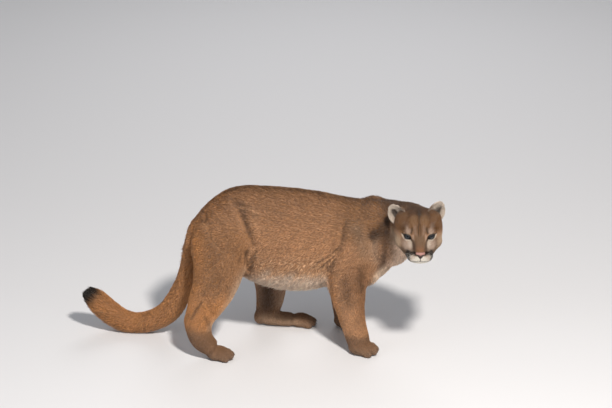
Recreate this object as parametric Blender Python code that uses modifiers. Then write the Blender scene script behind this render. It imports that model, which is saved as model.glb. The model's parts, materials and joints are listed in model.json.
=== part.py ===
"""A life-size standing cougar, head turned to its right, tail resting on the floor.

Metres, +Z up. The animal faces +X and its left side is +Y. It is modelled whole, as lofted
tubes and muscles fused by a voxel remesh, and then parted into named nodes with thin cuts.
"""

import math

import bmesh
import bpy
import numpy as np
from mathutils import Matrix, Vector
from mathutils.bvhtree import BVHTree

# Driving sizes
GAP = 0.0003
WELD = 0.00002
VOXEL = 0.0040
FLOOR = 0.0
EYE_RADIUS = 0.0155
EYE_SPACING = 0.090
LID_THICKNESS = 0.0036
EYE_SUNK = 0.0125
EYE_RAISED = 0.004

# Triangles kept for the solids
BODY_TRIANGLES = 5800
HEAD_TRIANGLES = 3400
PAW_TRIANGLES = 2300

# The head's place: the point midway between the eyes, and how far it is turned
EYE_LINE = Vector((0.471, -0.245, 0.552))
HEAD_YAW = math.radians(2.0)
HEAD_PITCH = math.radians(-3.0)
HEAD_ROLL = math.radians(-0.5)


def head_frame():
    """Local axes forward, left and up, from the point midway between the eyes."""
    forward = Vector((math.sin(HEAD_YAW), -math.cos(HEAD_YAW), 0))
    left = Vector((math.cos(HEAD_YAW), math.sin(HEAD_YAW), 0))
    level = Matrix((forward, left, Vector((0, 0, 1)))).transposed().to_4x4()
    tip = Matrix.Rotation(HEAD_PITCH, 4, "Y") @ Matrix.Rotation(HEAD_ROLL, 4, "X")
    return Matrix.Translation(EYE_LINE) @ level @ tip


HEAD = head_frame()


# Colours of the finishes, linear
COAT = (0.42, 0.235, 0.125)
NOSE_SKIN = (0.36, 0.14, 0.12)
EYE_DARK = (0.05, 0.055, 0.06)
COAT_ROUGHNESS = 0.85
NOSE_ROUGHNESS = 0.45
EYE_ROUGHNESS = 0.08

# Torso stations: x, top, bottom, half width, how much narrower the back is than the belly
TORSO = [
    (-0.436, 0.505, 0.446, 0.030, 0.00),
    (-0.412, 0.551, 0.400, 0.066, 0.05),
    (-0.375, 0.596, 0.366, 0.092, 0.10),
    (-0.332, 0.634, 0.342, 0.106, 0.16),
    (-0.280, 0.664, 0.318, 0.116, 0.20),
    (-0.220, 0.678, 0.290, 0.121, 0.18),
    (-0.150, 0.676, 0.259, 0.122, 0.16),
    (-0.070, 0.670, 0.239, 0.129, 0.13),
    (0.010, 0.661, 0.237, 0.135, 0.13),
    (0.090, 0.648, 0.250, 0.135, 0.17),
    (0.165, 0.632, 0.262, 0.130, 0.22),
    (0.235, 0.620, 0.268, 0.121, 0.28),
    (0.290, 0.618, 0.282, 0.108, 0.30),
    (0.340, 0.606, 0.318, 0.086, 0.22),
    (0.376, 0.566, 0.372, 0.052, 0.10),
]

# Tubes: x, y, z of the middle, half size across, half size along the animal or upward
NECK = [
    (0.240, 0.000, 0.492, 0.112, 0.092),
    (0.345, -0.010, 0.508, 0.110, 0.094),
    (0.405, -0.046, 0.523, 0.101, 0.091),
    (0.446, -0.104, 0.545, 0.095, 0.086),
    (0.463, -0.165, 0.560, 0.086, 0.082),
]
TAIL = [
    (-0.370, 0.000, 0.545, 0.040, 0.034),
    (-0.412, 0.001, 0.500, 0.037, 0.034),
    (-0.434, 0.003, 0.440, 0.033, 0.032),
    (-0.444, 0.008, 0.365, 0.033, 0.034),
    (-0.461, 0.018, 0.272, 0.036, 0.040),
    (-0.493, 0.036, 0.178, 0.041, 0.048),
    (-0.538, 0.053, 0.104, 0.043, 0.050),
    (-0.596, 0.070, 0.060, 0.043, 0.048),
    (-0.656, 0.083, 0.040, 0.043, 0.045),
    (-0.720, 0.092, 0.045, 0.045, 0.049),
    (-0.780, 0.096, 0.083, 0.045, 0.051),
    (-0.832, 0.096, 0.136, 0.043, 0.048),
    (-0.872, 0.095, 0.178, 0.027, 0.030),
]
FORELEG_RIGHT = [
    (0.222, -0.078, 0.450, 0.048, 0.100),
    (0.196, -0.098, 0.375, 0.050, 0.092),
    (0.190, -0.108, 0.305, 0.050, 0.082),
    (0.195, -0.114, 0.245, 0.047, 0.071),
    (0.203, -0.118, 0.185, 0.043, 0.060),
    (0.216, -0.120, 0.125, 0.041, 0.052),
    (0.230, -0.121, 0.075, 0.043, 0.049),
    (0.240, -0.122, 0.036, 0.045, 0.045),
]
FORELEG_LEFT = [
    (0.218, 0.078, 0.450, 0.048, 0.100),
    (0.180, 0.100, 0.375, 0.050, 0.088),
    (0.170, 0.114, 0.305, 0.050, 0.077),
    (0.169, 0.124, 0.245, 0.046, 0.066),
    (0.171, 0.130, 0.185, 0.042, 0.056),
    (0.175, 0.134, 0.125, 0.041, 0.049),
    (0.182, 0.136, 0.075, 0.043, 0.047),
    (0.187, 0.138, 0.036, 0.045, 0.045),
]
HINDLEG_RIGHT = [
    (-0.315, -0.062, 0.540, 0.050, 0.105),
    (-0.315, -0.092, 0.460, 0.058, 0.116),
    (-0.322, -0.116, 0.375, 0.058, 0.106),
    (-0.342, -0.136, 0.298, 0.052, 0.092),
    (-0.375, -0.150, 0.228, 0.043, 0.077),
    (-0.403, -0.160, 0.168, 0.038, 0.061),
    (-0.406, -0.166, 0.118, 0.037, 0.053),
    (-0.388, -0.170, 0.074, 0.038, 0.046),
    (-0.350, -0.173, 0.042, 0.042, 0.035),
]
HINDLEG_LEFT = [
    (-0.290, 0.062, 0.540, 0.050, 0.105),
    (-0.232, 0.092, 0.450, 0.058, 0.112),
    (-0.168, 0.120, 0.350, 0.058, 0.100),
    (-0.132, 0.140, 0.262, 0.050, 0.080),
    (-0.120, 0.151, 0.180, 0.042, 0.067),
    (-0.124, 0.158, 0.112, 0.038, 0.059),
    (-0.134, 0.158, 0.046, 0.036, 0.044),
    (-0.094, 0.156, 0.029, 0.037, 0.031),
    (-0.035, 0.151, 0.025, 0.040, 0.027),
]

# Paws: middle of the pad, heading in degrees from +X, and size against a middling paw
PAWS = {
    "forepaw_right": ((0.245, -0.124), -14.0, 1.05),
    "forepaw_left": ((0.190, 0.140), 6.0, 1.05),
    "hindpaw_right": ((-0.330, -0.176), -8.0, 0.96),
    "hindpaw_left": ((0.003, 0.149), -4.0, 0.94),
}
PAD_SUNK = 0.003
TOE_DROP = 6
TOE_FAN = 0.12
PAD_LOWERED = 0.002
PAD_RADII = (0.050, 0.047, 0.030)
TOE_RADII = (0.026, 0.0150, 0.0190)
TOES = [
    (0.030, -0.0355, 0.019),
    (0.046, -0.0125, 0.021),
    (0.046, 0.0125, 0.021),
    (0.030, 0.0355, 0.019),
]

# Muscles of the body: centre, radii, turn in degrees; each is mirrored to the other side too
MUSCLES = [
    ((0.300, 0.042, 0.545), (0.074, 0.034, 0.082), (8, -10, 0)),
    ((0.312, 0.072, 0.440), (0.052, 0.050, 0.092), (0, 16, 0)),
    ((0.232, 0.084, 0.430), (0.092, 0.046, 0.092), (0, -20, 0)),
    ((0.268, 0.072, 0.350), (0.052, 0.044, 0.074), (0, -16, 0)),
    ((-0.258, 0.042, 0.588), (0.074, 0.046, 0.064), (0, 0, 0)),
    ((-0.308, 0.064, 0.505), (0.094, 0.056, 0.092), (0, 25, 0)),
    ((-0.370, 0.084, 0.440), (0.070, 0.040, 0.090), (0, -4, 0)),
    ((-0.010, 0.030, 0.400), (0.180, 0.108, 0.150), (0, 2, 0)),
]
CHEST_FRONT = ((0.300, -0.006, 0.378), (0.078, 0.088, 0.094), (0, 10, 0))
THROAT = ((0.392, -0.062, 0.440), (0.060, 0.066, 0.088), (0, 28, 0))
THIGHS = {
    "right": ((-0.300, -0.098, 0.420), (0.104, 0.056, 0.140), (0, 18, 0)),
    "left": ((-0.235, 0.100, 0.430), (0.106, 0.056, 0.136), (0, -14, 0)),
}
HOCK_POINTS = [
    ((-0.440, -0.161, 0.160), (0.030, 0.022, 0.038)),
    ((-0.166, 0.158, 0.034), (0.026, 0.024, 0.034)),
]
ELBOWS = [
    ((0.138, -0.100, 0.330), (0.038, 0.036, 0.056)),
    ((0.122, 0.104, 0.330), (0.036, 0.036, 0.054)),
]

# The head in its own axes, forward, left and up from the eye line: forward, top, bottom, half width, taper
SKULL_RINGS = [
    (0.065, -0.046, -0.070, 0.018, 0.00),
    (0.059, -0.041, -0.082, 0.032, 0.10),
    (0.046, -0.036, -0.0885, 0.043, 0.20),
    (0.032, -0.030, -0.091, 0.048, 0.20),
    (0.018, -0.020, -0.091, 0.052, 0.18),
    (0.005, 0.000, -0.091, 0.057, 0.12),
    (-0.008, 0.030, -0.092, 0.066, 0.04),
    (-0.024, 0.060, -0.093, 0.079, -0.05),
    (-0.044, 0.082, -0.094, 0.090, -0.11),
    (-0.070, 0.094, -0.095, 0.096, -0.12),
    (-0.100, 0.095, -0.090, 0.094, -0.08),
    (-0.130, 0.084, -0.078, 0.084, -0.02),
    (-0.160, 0.054, -0.050, 0.056, 0.00),
]
CHIN = ((0.039, 0.0, -0.0755), (0.023, 0.0265, 0.0160), (0, -4, 0))
SKULL_PAIRS = [
    ((0.038, 0.0270, -0.059), (0.028, 0.0270, 0.0230), (0, 0, 6)),
    ((-0.042, 0.066, -0.026), (0.038, 0.029, 0.030), (0, 0, -14)),
    ((-0.028, 0.042, 0.031), (0.025, 0.028, 0.0190), (20, 0, -14)),
    ((-0.074, 0.064, 0.058), (0.032, 0.028, 0.028), (0, 0, 0)),
    ((0.061, 0.0115, -0.050), (0.0090, 0.0095, 0.0095), (0, 0, 0)),
]
NOSE_BRIDGE = [
    (-0.034, 0.0, 0.024, 0.036, 0.032),
    (-0.004, 0.0, 0.000, 0.028, 0.027),
    (0.022, 0.0, -0.018, 0.024, 0.023),
    (0.046, 0.0, -0.035, 0.021, 0.018),
    (0.063, 0.0, -0.046, 0.016, 0.013),
]

# Eyes: where they look and the almond between the lids
EYE_OUTWARD = 16.0
EYE_UPWARD = 4.0
EYE_SEGMENTS = 16
FISSURE_LENGTH = 0.030
FISSURE_ABOVE = 0.0094
FISSURE_BELOW = 0.0074
FISSURE_SLANT = 20.0
FISSURE_POINTS = 9
FISSURE_DEPTH = 0.004
FISSURE_REACH = 0.03

# Mouth and nostrils, in the head's axes; grooves are laid on the surface nearest to these points
MOUTH_RADIUS = 0.0017
PHILTRUM_RADIUS = 0.0014
GROOVE_RAISED = 0.25
MOUTH = [
    (0.004, 0.057, -0.070),
    (0.020, 0.055, -0.0765),
    (0.038, 0.049, -0.0800),
    (0.055, 0.032, -0.0790),
    (0.064, 0.012, -0.0750),
    (0.067, 0.000, -0.0730),
    (0.064, -0.012, -0.0750),
    (0.055, -0.032, -0.0790),
    (0.038, -0.049, -0.0800),
    (0.020, -0.055, -0.0765),
    (0.004, -0.057, -0.070),
]
PHILTRUM = [(0.072, 0.0, -0.0610), (0.072, 0.0, -0.0660), (0.069, 0.0, -0.0730)]
NOSTRIL = (0.0695, 0.0100, -0.0500)
NOSTRIL_RADII = (0.0060, 0.0038, 0.0042)
NOSTRIL_TURN = 24
NOSTRIL_SEGMENTS = 12

# Ears, by side: middle of the base, tip, way the opening faces, depth of the cup
EAR_HALF_WIDTH = 0.034
EAR_WALL = 0.0050
EAR_ROWS = 9
EAR_COLUMNS = 8
EAR_BELLY = 0.22
EAR_WAIST = 0.10
EAR_TIP_POWER = 2.8
EAR_ROW_POWER = 1.5
EAR_CUP_POWER = 0.6
EAR_LEAST_CUP = 0.35
EARS = {
    1: ((-0.074, 0.060, 0.052), (-0.080, 0.088, 0.125), (0.92, 0.30, 0.0), 0.032),
    -1: ((-0.074, -0.070, 0.046), (-0.088, -0.108, 0.108), (0.90, -0.34, 0.0), 0.032),
}

# Planes that crop the finer stock of the head and the paws: a point, and the way that is left out
HEAD_CROP = [
    (HEAD @ Vector((-0.14, 0, 0)), HEAD.to_3x3() @ Vector((-1, 0, 0))),
    (Vector((0.30, 0, 0)), Vector((-1, 0, 0))),
    (Vector((0, 0, 0.40)), Vector((0, 0, -1))),
]
PAW_CROP = [(Vector((0, 0, 0.15)), Vector((0, 0, 1))), (Vector((-0.49, 0, 0)), Vector((-1, 0, 0)))]

# Regions that part the nodes: lowest and highest corner, and turn in degrees about the middle
HEAD_REGION = ((-0.115, -0.125, -0.125), (0.205, 0.125, 0.145))
NOSE_REGION = ((0.0580, -0.0190, -0.0615), (0.100, 0.0190, -0.026))
PAW_REGIONS = {
    "forepaw_right": ((0.100, -0.240, FLOOR), (0.360, -0.020, 0.085)),
    "forepaw_left": ((0.060, 0.020, FLOOR), (0.340, 0.260, 0.085)),
    "hindpaw_right": ((-0.480, -0.290, FLOOR), (-0.220, -0.080, 0.125)),
    "hindpaw_left": ((-0.230, 0.060, FLOOR), (0.120, 0.280, 0.085)),
}
BODY_REGIONS = [
    ("neck", (0.360, -0.250, 0.320), (0.660, 0.250, 0.680), (0, -14, 0)),
    ("tail_tip", (-0.960, 0.000, FLOOR), (-0.745, 0.200, 0.300), (0, 0, 0)),
    ("tail_mid", (-0.760, -0.050, FLOOR), (-0.510, 0.180, 0.300), (0, 0, 0)),
    ("tail_base", (-0.560, -0.042, FLOOR), (-0.404, 0.120, 0.462), (0, 0, 0)),
    ("foreleg_right_lower", (0.100, -0.220, 0.050), (0.340, -0.030, 0.255), (0, 0, 0)),
    ("foreleg_left_lower", (0.060, 0.030, 0.050), (0.300, 0.240, 0.255), (0, 0, 0)),
    ("hindleg_right_shank", (-0.500, -0.280, 0.060), (-0.180, -0.050, 0.268), (0, 0, 0)),
    ("hindleg_left_shank", (-0.260, 0.060, 0.050), (0.000, 0.260, 0.240), (0, 0, 0)),
    ("foreleg_right_upper", (0.110, -0.220, 0.220), (0.340, -0.082, 0.480), (-9, 0, 0)),
    ("foreleg_left_upper", (0.090, 0.082, 0.220), (0.340, 0.220, 0.480), (9, 0, 0)),
    ("hindleg_right_thigh", (-0.500, -0.220, 0.200), (-0.190, -0.070, 0.540), (-9, 0, 0)),
    ("hindleg_left_thigh", (-0.500, 0.070, 0.200), (-0.045, 0.230, 0.540), (9, 0, 0)),
]

# Squareness of the skull's rings: 1 is round and less is squarer
HEAD_SQUARENESS = 0.84

# How hard the fused mesh is smoothed, as a share of the full strength in each region
SMOOTH_STEPS = 84
SMOOTH_LEVELS = 20
PLUMP = 0.0022
SOFT_SHARE_TAIL = 0.5
SOFT_SHARE_HEAD = 0.30
SOFT_SHARE_PAW = 0.14
TAIL_FROM = -0.50
HEAD_CORE = 0.115
HEAD_REACH = 0.165
FEET_FROM = -0.46
PAW_TOP = 0.055
PAW_FADE = 0.075


def clear_scene():
    for thing in list(bpy.data.objects):
        bpy.data.objects.remove(thing)


def new_collection(name):
    group = bpy.data.collections.new(name)
    bpy.context.scene.collection.children.link(group)
    return group


def finish_of(name):
    """A node's own material, by what it is made of."""
    if name.startswith("eye"):
        return plain_material(name, EYE_DARK, EYE_ROUGHNESS)
    if name == "nose":
        return plain_material(name, NOSE_SKIN, NOSE_ROUGHNESS)
    return plain_material(name, COAT, COAT_ROUGHNESS)


def plain_material(name, colour, roughness):
    made = bpy.data.materials.new(name)
    made.use_nodes = True
    shader = made.node_tree.nodes["Principled BSDF"]
    shader.inputs["Base Color"].default_value = (*colour, 1.0)
    shader.inputs["Roughness"].default_value = roughness
    shader.inputs["Metallic"].default_value = 0.0
    return made


def object_from(bm, name, group):
    bmesh.ops.recalc_face_normals(bm, faces=bm.faces)
    mesh = bpy.data.meshes.new(name)
    bm.to_mesh(mesh)
    bm.free()
    made = bpy.data.objects.new(name, mesh)
    group.objects.link(made)
    return made


def turned(degrees):
    return Matrix.Rotation(math.radians(degrees[2]), 4, "Z") @ Matrix.Rotation(
        math.radians(degrees[1]), 4, "Y"
    ) @ Matrix.Rotation(math.radians(degrees[0]), 4, "X")


def ellipsoid(group, centre, radii, turn=(0, 0, 0), frame=Matrix(), segments=32):
    """A sphere stretched to three radii, turned, and placed in a frame."""
    bm = bmesh.new()
    place = frame @ Matrix.Translation(centre) @ turned(turn) @ Matrix.Diagonal((*radii, 1.0))
    bmesh.ops.create_uvsphere(bm, u_segments=segments, v_segments=segments // 2, radius=1.0, matrix=place)
    return object_from(bm, "form", group)


def mirrored(form):
    """The same muscle on the other side of the animal's middle plane."""
    (x, y, z), radii, (roll, pitch, yaw) = form
    return (x, -y, z), radii, (-roll, pitch, -yaw)


def smooth_rows(rows, steps):
    """Rows of numbers read along a Catmull-Rom curve, with steps rows for each stretch."""
    rows = np.array(rows, float)
    padded = np.vstack([2 * rows[0] - rows[1], rows, 2 * rows[-1] - rows[-2]])
    found = []
    for i in range(1, len(padded) - 2):
        a, b, c, d = padded[i - 1 : i + 3]
        for t in np.arange(steps) / steps:
            bend = (2 * a - 5 * b + 4 * c - d) * t**2
            twist = (3 * b - a - 3 * c + d) * t**3
            found.append(0.5 * (2 * b + (c - a) * t + bend + twist))
    found.append(rows[-1])
    return np.array(found)


def skin_rings(bm, rings):
    """Quads between neighbouring rings of points, and a fan over each end."""
    rows = [[bm.verts.new(p) for p in ring] for ring in rings]
    count = len(rows[0])
    for low, high in zip(rows, rows[1:]):
        for k in range(count):
            bm.faces.new((low[k], low[(k + 1) % count], high[(k + 1) % count], high[k]))
    for ring in (rows[0], rows[-1]):
        hub = bm.verts.new(sum((v.co for v in ring), Vector()) / count)
        for k in range(count):
            bm.faces.new((ring[k], ring[(k + 1) % count], hub))


def tube(group, stations, across=Vector((0, 1, 0)), frame=Matrix(), steps=6, sides=28):
    """A loft of ellipses square to a curve through the stations; across is the ellipses' first axis."""
    rows = smooth_rows(stations, steps)
    middles = [Vector(row[:3]) for row in rows]
    rings = []
    for i, row in enumerate(rows):
        ahead = (middles[min(i + 1, len(rows) - 1)] - middles[max(i - 1, 0)]).normalized()
        side = (across - ahead * across.dot(ahead)).normalized()
        rise = ahead.cross(side)
        rings.append([
            frame @ (middles[i] + side * row[3] * math.cos(t) + rise * row[4] * math.sin(t))
            for t in np.arange(sides) * 2 * math.pi / sides
        ])
    bm = bmesh.new()
    skin_rings(bm, rings)
    return object_from(bm, "form", group)


def boxy(value, squareness):
    """A sine or cosine bent so that a ring is rounder for 1 and squarer for less."""
    return math.copysign(abs(value) ** squareness, value)


def trunk(group, stations, frame=Matrix(), squareness=1.0, steps=6, sides=40):
    """Upright egg-shaped rings along a level line, narrower above than below."""
    rings = []
    for x, top, bottom, half_width, taper in smooth_rows(stations, steps):
        middle, half_height = (top + bottom) / 2, (top - bottom) / 2
        rings.append([
            frame @ Vector((
                x,
                half_width * boxy(math.cos(t), squareness) * (1 - taper * math.sin(t)),
                middle + half_height * boxy(math.sin(t), squareness),
            ))
            for t in np.arange(sides) * 2 * math.pi / sides
        ])
    bm = bmesh.new()
    skin_rings(bm, rings)
    return object_from(bm, "form", group)


def paw_forms(group, spot, heading, size):
    """The pad and four toes of one paw, standing on the floor."""
    frame = Matrix.Translation((*spot, FLOOR - PAD_SUNK)) @ Matrix.Rotation(math.radians(heading), 4, "Z")
    frame = frame @ Matrix.Scale(size, 4)
    made = [ellipsoid(group, (0.0, 0.0, PAD_RADII[2] - PAD_LOWERED), PAD_RADII, frame=frame)]
    for x, y, z in TOES:
        spread = (0, TOE_DROP, math.degrees(math.atan2(y, TOE_FAN)))
        made.append(ellipsoid(group, (x, y, z), TOE_RADII, spread, frame, segments=24))
    return made


def body_forms(group):
    """Everything that is fused into one animal, head included, ears and eyes left out."""
    made = [trunk(group, TORSO), tube(group, NECK, across=Vector((0, 0, 1)), sides=32)]
    made.append(tube(group, TAIL))
    for leg in (FORELEG_RIGHT, FORELEG_LEFT, HINDLEG_RIGHT, HINDLEG_LEFT):
        made.append(tube(group, leg))
    for muscle in MUSCLES:
        made += [ellipsoid(group, *muscle), ellipsoid(group, *mirrored(muscle))]
    made += [ellipsoid(group, *CHEST_FRONT), ellipsoid(group, *THROAT)]
    made += [ellipsoid(group, *thigh) for thigh in THIGHS.values()]
    made += [ellipsoid(group, *form) for form in HOCK_POINTS + ELBOWS]
    for spot, heading, size in PAWS.values():
        made += paw_forms(group, spot, heading, size)
    made.append(trunk(group, SKULL_RINGS, HEAD, HEAD_SQUARENESS))
    made.append(ellipsoid(group, *CHIN, frame=HEAD))
    for form in SKULL_PAIRS:
        made += [ellipsoid(group, *form, frame=HEAD), ellipsoid(group, *mirrored(form), frame=HEAD)]
    made.append(tube(group, NOSE_BRIDGE, frame=HEAD, sides=24))
    for side in (1, -1):
        made.append(ellipsoid(group, eye_centre(side), (EYE_RADIUS + LID_THICKNESS,) * 3, frame=HEAD))
    return made


def eye_centre(side):
    """Middle of an eyeball in the head's axes; side is 1 for the left eye and -1 for the right."""
    return Vector((-EYE_SUNK, side * EYE_SPACING / 2, EYE_RAISED))


def joined(objects, name):
    """The objects' meshes as one object, with their places applied."""
    bm = bmesh.new()
    for thing in objects:
        mesh = thing.data
        mesh.transform(thing.matrix_world)
        bm.from_mesh(mesh)
        bpy.data.objects.remove(thing)
    mesh = bpy.data.meshes.new(name)
    bm.to_mesh(mesh)
    bm.free()
    made = bpy.data.objects.new(name, mesh)
    return made


def applied(thing):
    """The object with its modifiers applied."""
    bpy.context.view_layer.update()
    graph = bpy.context.evaluated_depsgraph_get()
    mesh = bpy.data.meshes.new_from_object(thing.evaluated_get(graph))
    thing.modifiers.clear()
    thing.data = mesh
    return thing


def points_of(mesh):
    flat = np.zeros(len(mesh.vertices) * 3, np.float32)
    mesh.vertices.foreach_get("co", flat)
    return flat.reshape(-1, 3).astype(float)


def softness(points):
    """How strongly each point is smoothed: fully on the body, little on the face and the paws."""
    share = np.ones(len(points))
    share[points[:, 0] < TAIL_FROM] = SOFT_SHARE_TAIL
    from_head = np.linalg.norm(points - np.array(HEAD.translation), axis=1)
    fade = np.clip((from_head - HEAD_CORE) / (HEAD_REACH - HEAD_CORE), 0, 1)
    share = np.minimum(share, SOFT_SHARE_HEAD + (1 - SOFT_SHARE_HEAD) * fade)
    fade = np.clip((points[:, 2] - PAW_TOP) / PAW_FADE, 0, 1)
    feet = points[:, 0] > FEET_FROM
    share[feet] = np.minimum(share, SOFT_SHARE_PAW + (1 - SOFT_SHARE_PAW) * fade)[feet]
    return share


def fused(objects, group):
    """One closed surface round all the forms, smoothed where flesh blends."""
    whole = joined(objects, "cougar")
    group.objects.link(whole)
    remesh = whole.modifiers.new("fuse", "REMESH")
    remesh.mode = "VOXEL"
    remesh.voxel_size = VOXEL
    applied(whole)
    shares = softness(points_of(whole.data))
    soft = whole.vertex_groups.new(name="soft")
    for level in range(1, SMOOTH_LEVELS + 1):
        picked = np.nonzero(np.round(shares * SMOOTH_LEVELS).astype(int) == level)[0]
        soft.add(picked.tolist(), level / SMOOTH_LEVELS, "REPLACE")
    smooth = whole.modifiers.new("blend", "SMOOTH")
    smooth.factor = 0.5
    smooth.iterations = SMOOTH_STEPS
    smooth.vertex_group = "soft"
    plump = whole.modifiers.new("plump", "DISPLACE")
    plump.strength = PLUMP
    plump.mid_level = 0.0
    plump.vertex_group = "soft"
    return applied(whole)


def cropped(whole, planes, name, group):
    """A copy of the mesh on the inner side of each plane, closed again where it was cut."""
    bm = bmesh.new()
    bm.from_mesh(whole.data)
    for point, outward in planes:
        everything = bm.verts[:] + bm.edges[:] + bm.faces[:]
        halved = bmesh.ops.bisect_plane(
            bm, geom=everything, plane_co=point, plane_no=outward, clear_outer=True
        )
        rim = [e for e in halved["geom_cut"] if isinstance(e, bmesh.types.BMEdge)]
        bmesh.ops.holes_fill(bm, edges=rim)
    bmesh.ops.triangulate(bm, faces=[f for f in bm.faces if len(f.verts) > 4])
    mesh = bpy.data.meshes.new(name)
    bm.to_mesh(mesh)
    bm.free()
    made = bpy.data.objects.new(name, mesh)
    group.objects.link(made)
    return made


def thinned(thing, triangles):
    """The mesh collapsed to about this many triangles."""
    count = sum(len(p.vertices) - 2 for p in thing.data.polygons)
    thin = thing.modifiers.new("thin", "DECIMATE")
    thin.ratio = triangles / count
    thin.use_collapse_triangulate = True
    return applied(thing)


def block(group, low, high, turn=(0, 0, 0), frame=Matrix(), grow=0.0):
    """A box from one corner to the other, turned about its middle and placed in a frame."""
    low, high = Vector(low), Vector(high)
    size = high - low + Vector((grow, grow, grow)) * 2
    place = frame @ Matrix.Translation((low + high) / 2) @ turned(turn) @ Matrix.Diagonal((*size, 1.0))
    bm = bmesh.new()
    bmesh.ops.create_cube(bm, size=1.0, matrix=place)
    return object_from(bm, "region", group)


def cut(thing, cutter, operation):
    """One Boolean of two closed meshes, keeping the largest closed surface that it leaves."""
    cutter.hide_render = True
    cutter.display_type = "WIRE"
    boolean = thing.modifiers.new(operation, "BOOLEAN")
    boolean.operation = operation
    boolean.solver = "EXACT"
    boolean.object = cutter
    applied(thing)
    bpy.data.objects.remove(cutter)
    return largest(thing)


def largest(thing):
    """Only the closed surface with the largest box, with no doubled points."""
    bm = bmesh.new()
    bm.from_mesh(thing.data)
    bmesh.ops.remove_doubles(bm, verts=bm.verts, dist=WELD)
    left = set(bm.verts)
    shells = []
    while left:
        shell, edge = set(), [left.pop()]
        while edge:
            vert = edge.pop()
            shell.add(vert)
            for link in vert.link_edges:
                other = link.other_vert(vert)
                if other in left:
                    left.remove(other)
                    edge.append(other)
        shells.append(shell)
    keep = max(shells, key=len)
    bmesh.ops.delete(bm, geom=[v for v in bm.verts if v not in keep], context="VERTS")
    bmesh.ops.triangulate(bm, faces=bm.faces)
    bm.to_mesh(thing.data)
    bm.free()
    return thing


def copy_of(thing, name, group):
    made = thing.copy()
    made.data = thing.data.copy()
    made.name = made.data.name = name
    group.objects.link(made)
    return made


def part_off(whole, name, low, high, turn, frame, group, cutters):
    """Take the piece inside a region off the mesh, with a thin cut between the two."""
    piece = copy_of(whole, name, group)
    cut(piece, block(cutters, low, high, turn, frame), "INTERSECT")
    cut(whole, block(cutters, low, high, turn, frame, grow=GAP), "DIFFERENCE")
    return piece


def outlook(side):
    """Where an eye looks, in the head's axes: forward, outward and slightly up."""
    yaw = math.radians(EYE_OUTWARD) * side
    return Matrix.Rotation(yaw, 4, "Z") @ Matrix.Rotation(-math.radians(EYE_UPWARD), 4, "Y")


def fissure(group, side):
    """The almond between the lids, as a prism from inside the eyeball forwards."""
    slant = Matrix.Rotation(math.radians(FISSURE_SLANT) * side, 4, "X")
    frame = HEAD @ Matrix.Translation(eye_centre(side)) @ outlook(side) @ slant
    across = np.linspace(-1, 1, FISSURE_POINTS)
    rim = [(x, FISSURE_ABOVE * (1 - x * x)) for x in across]
    rim += [(x, -FISSURE_BELOW * (1 - x * x)) for x in across[-2:0:-1]]
    bm = bmesh.new()
    near = [bm.verts.new(frame @ Vector((FISSURE_DEPTH, x * FISSURE_LENGTH / 2, z))) for x, z in rim]
    bm.faces.new(near)
    reach = (frame.to_3x3() @ Vector((1, 0, 0))) * FISSURE_REACH
    grown = bmesh.ops.extrude_face_region(bm, geom=bm.faces[:])
    for vert in [v for v in grown["geom"] if isinstance(v, bmesh.types.BMVert)]:
        vert.co += reach
    bmesh.ops.triangulate(bm, faces=bm.faces)
    return object_from(bm, "fissure", group)


def groove(group, route, across, surface, radius):
    """A bent rod half sunk in the surface, laid along points of the head's axes."""
    stations = []
    for row in smooth_rows(route, 3):
        found, normal, _, _ = surface.find_nearest(HEAD @ Vector(row))
        stations.append((*(found + normal * radius * GROOVE_RAISED), radius, radius))
    return tube(group, stations, HEAD.to_3x3() @ across, steps=1, sides=6)


def ear_shell(group, side, name):
    """An open leaf bent into a cup, with the thickness of a real ear."""
    base, tip, facing, cup = EARS[side]
    base, tip = Vector(base), Vector(tip)
    rise = tip - base
    out = Vector(facing).normalized()
    across = rise.cross(out).normalized()
    out = across.cross(rise).normalized()
    bm = bmesh.new()
    grid = []
    for i in range(EAR_ROWS + 1):
        up = 1 - (1 - i / EAR_ROWS) ** EAR_ROW_POWER
        bulge = 1 + EAR_BELLY * math.sin(math.pi * up) - EAR_WAIST * (1 - up)
        half = EAR_HALF_WIDTH * (1 - up**EAR_TIP_POWER) ** 0.5 * bulge
        open_share = EAR_LEAST_CUP + (1 - EAR_LEAST_CUP) * min(1.0, half / EAR_HALF_WIDTH)
        depth = cup * (1 - up) ** EAR_CUP_POWER * open_share
        line = []
        for k in range(EAR_COLUMNS + 1):
            turn = 2 * k / EAR_COLUMNS - 1
            back = out * depth * (1 - turn * turn)
            line.append(bm.verts.new(base + rise * up + across * half * turn - back))
        grid.append(line)
    for low, high in zip(grid, grid[1:]):
        for k in range(EAR_COLUMNS):
            bm.faces.new((low[k], low[k + 1], high[k + 1], high[k]))
    bmesh.ops.transform(bm, matrix=HEAD, verts=bm.verts)
    bmesh.ops.triangulate(bm, faces=bm.faces)
    made = object_from(bm, name, group)
    wall = made.modifiers.new("wall", "SOLIDIFY")
    wall.thickness = EAR_WALL
    wall.offset = 0.0
    return applied(made)


def swollen(thing, amount, group):
    """A copy of the mesh pushed out along its normals."""
    made = copy_of(thing, "swollen", group)
    push = made.modifiers.new("push", "DISPLACE")
    push.strength = amount
    push.mid_level = 0.0
    return applied(made)


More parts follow.
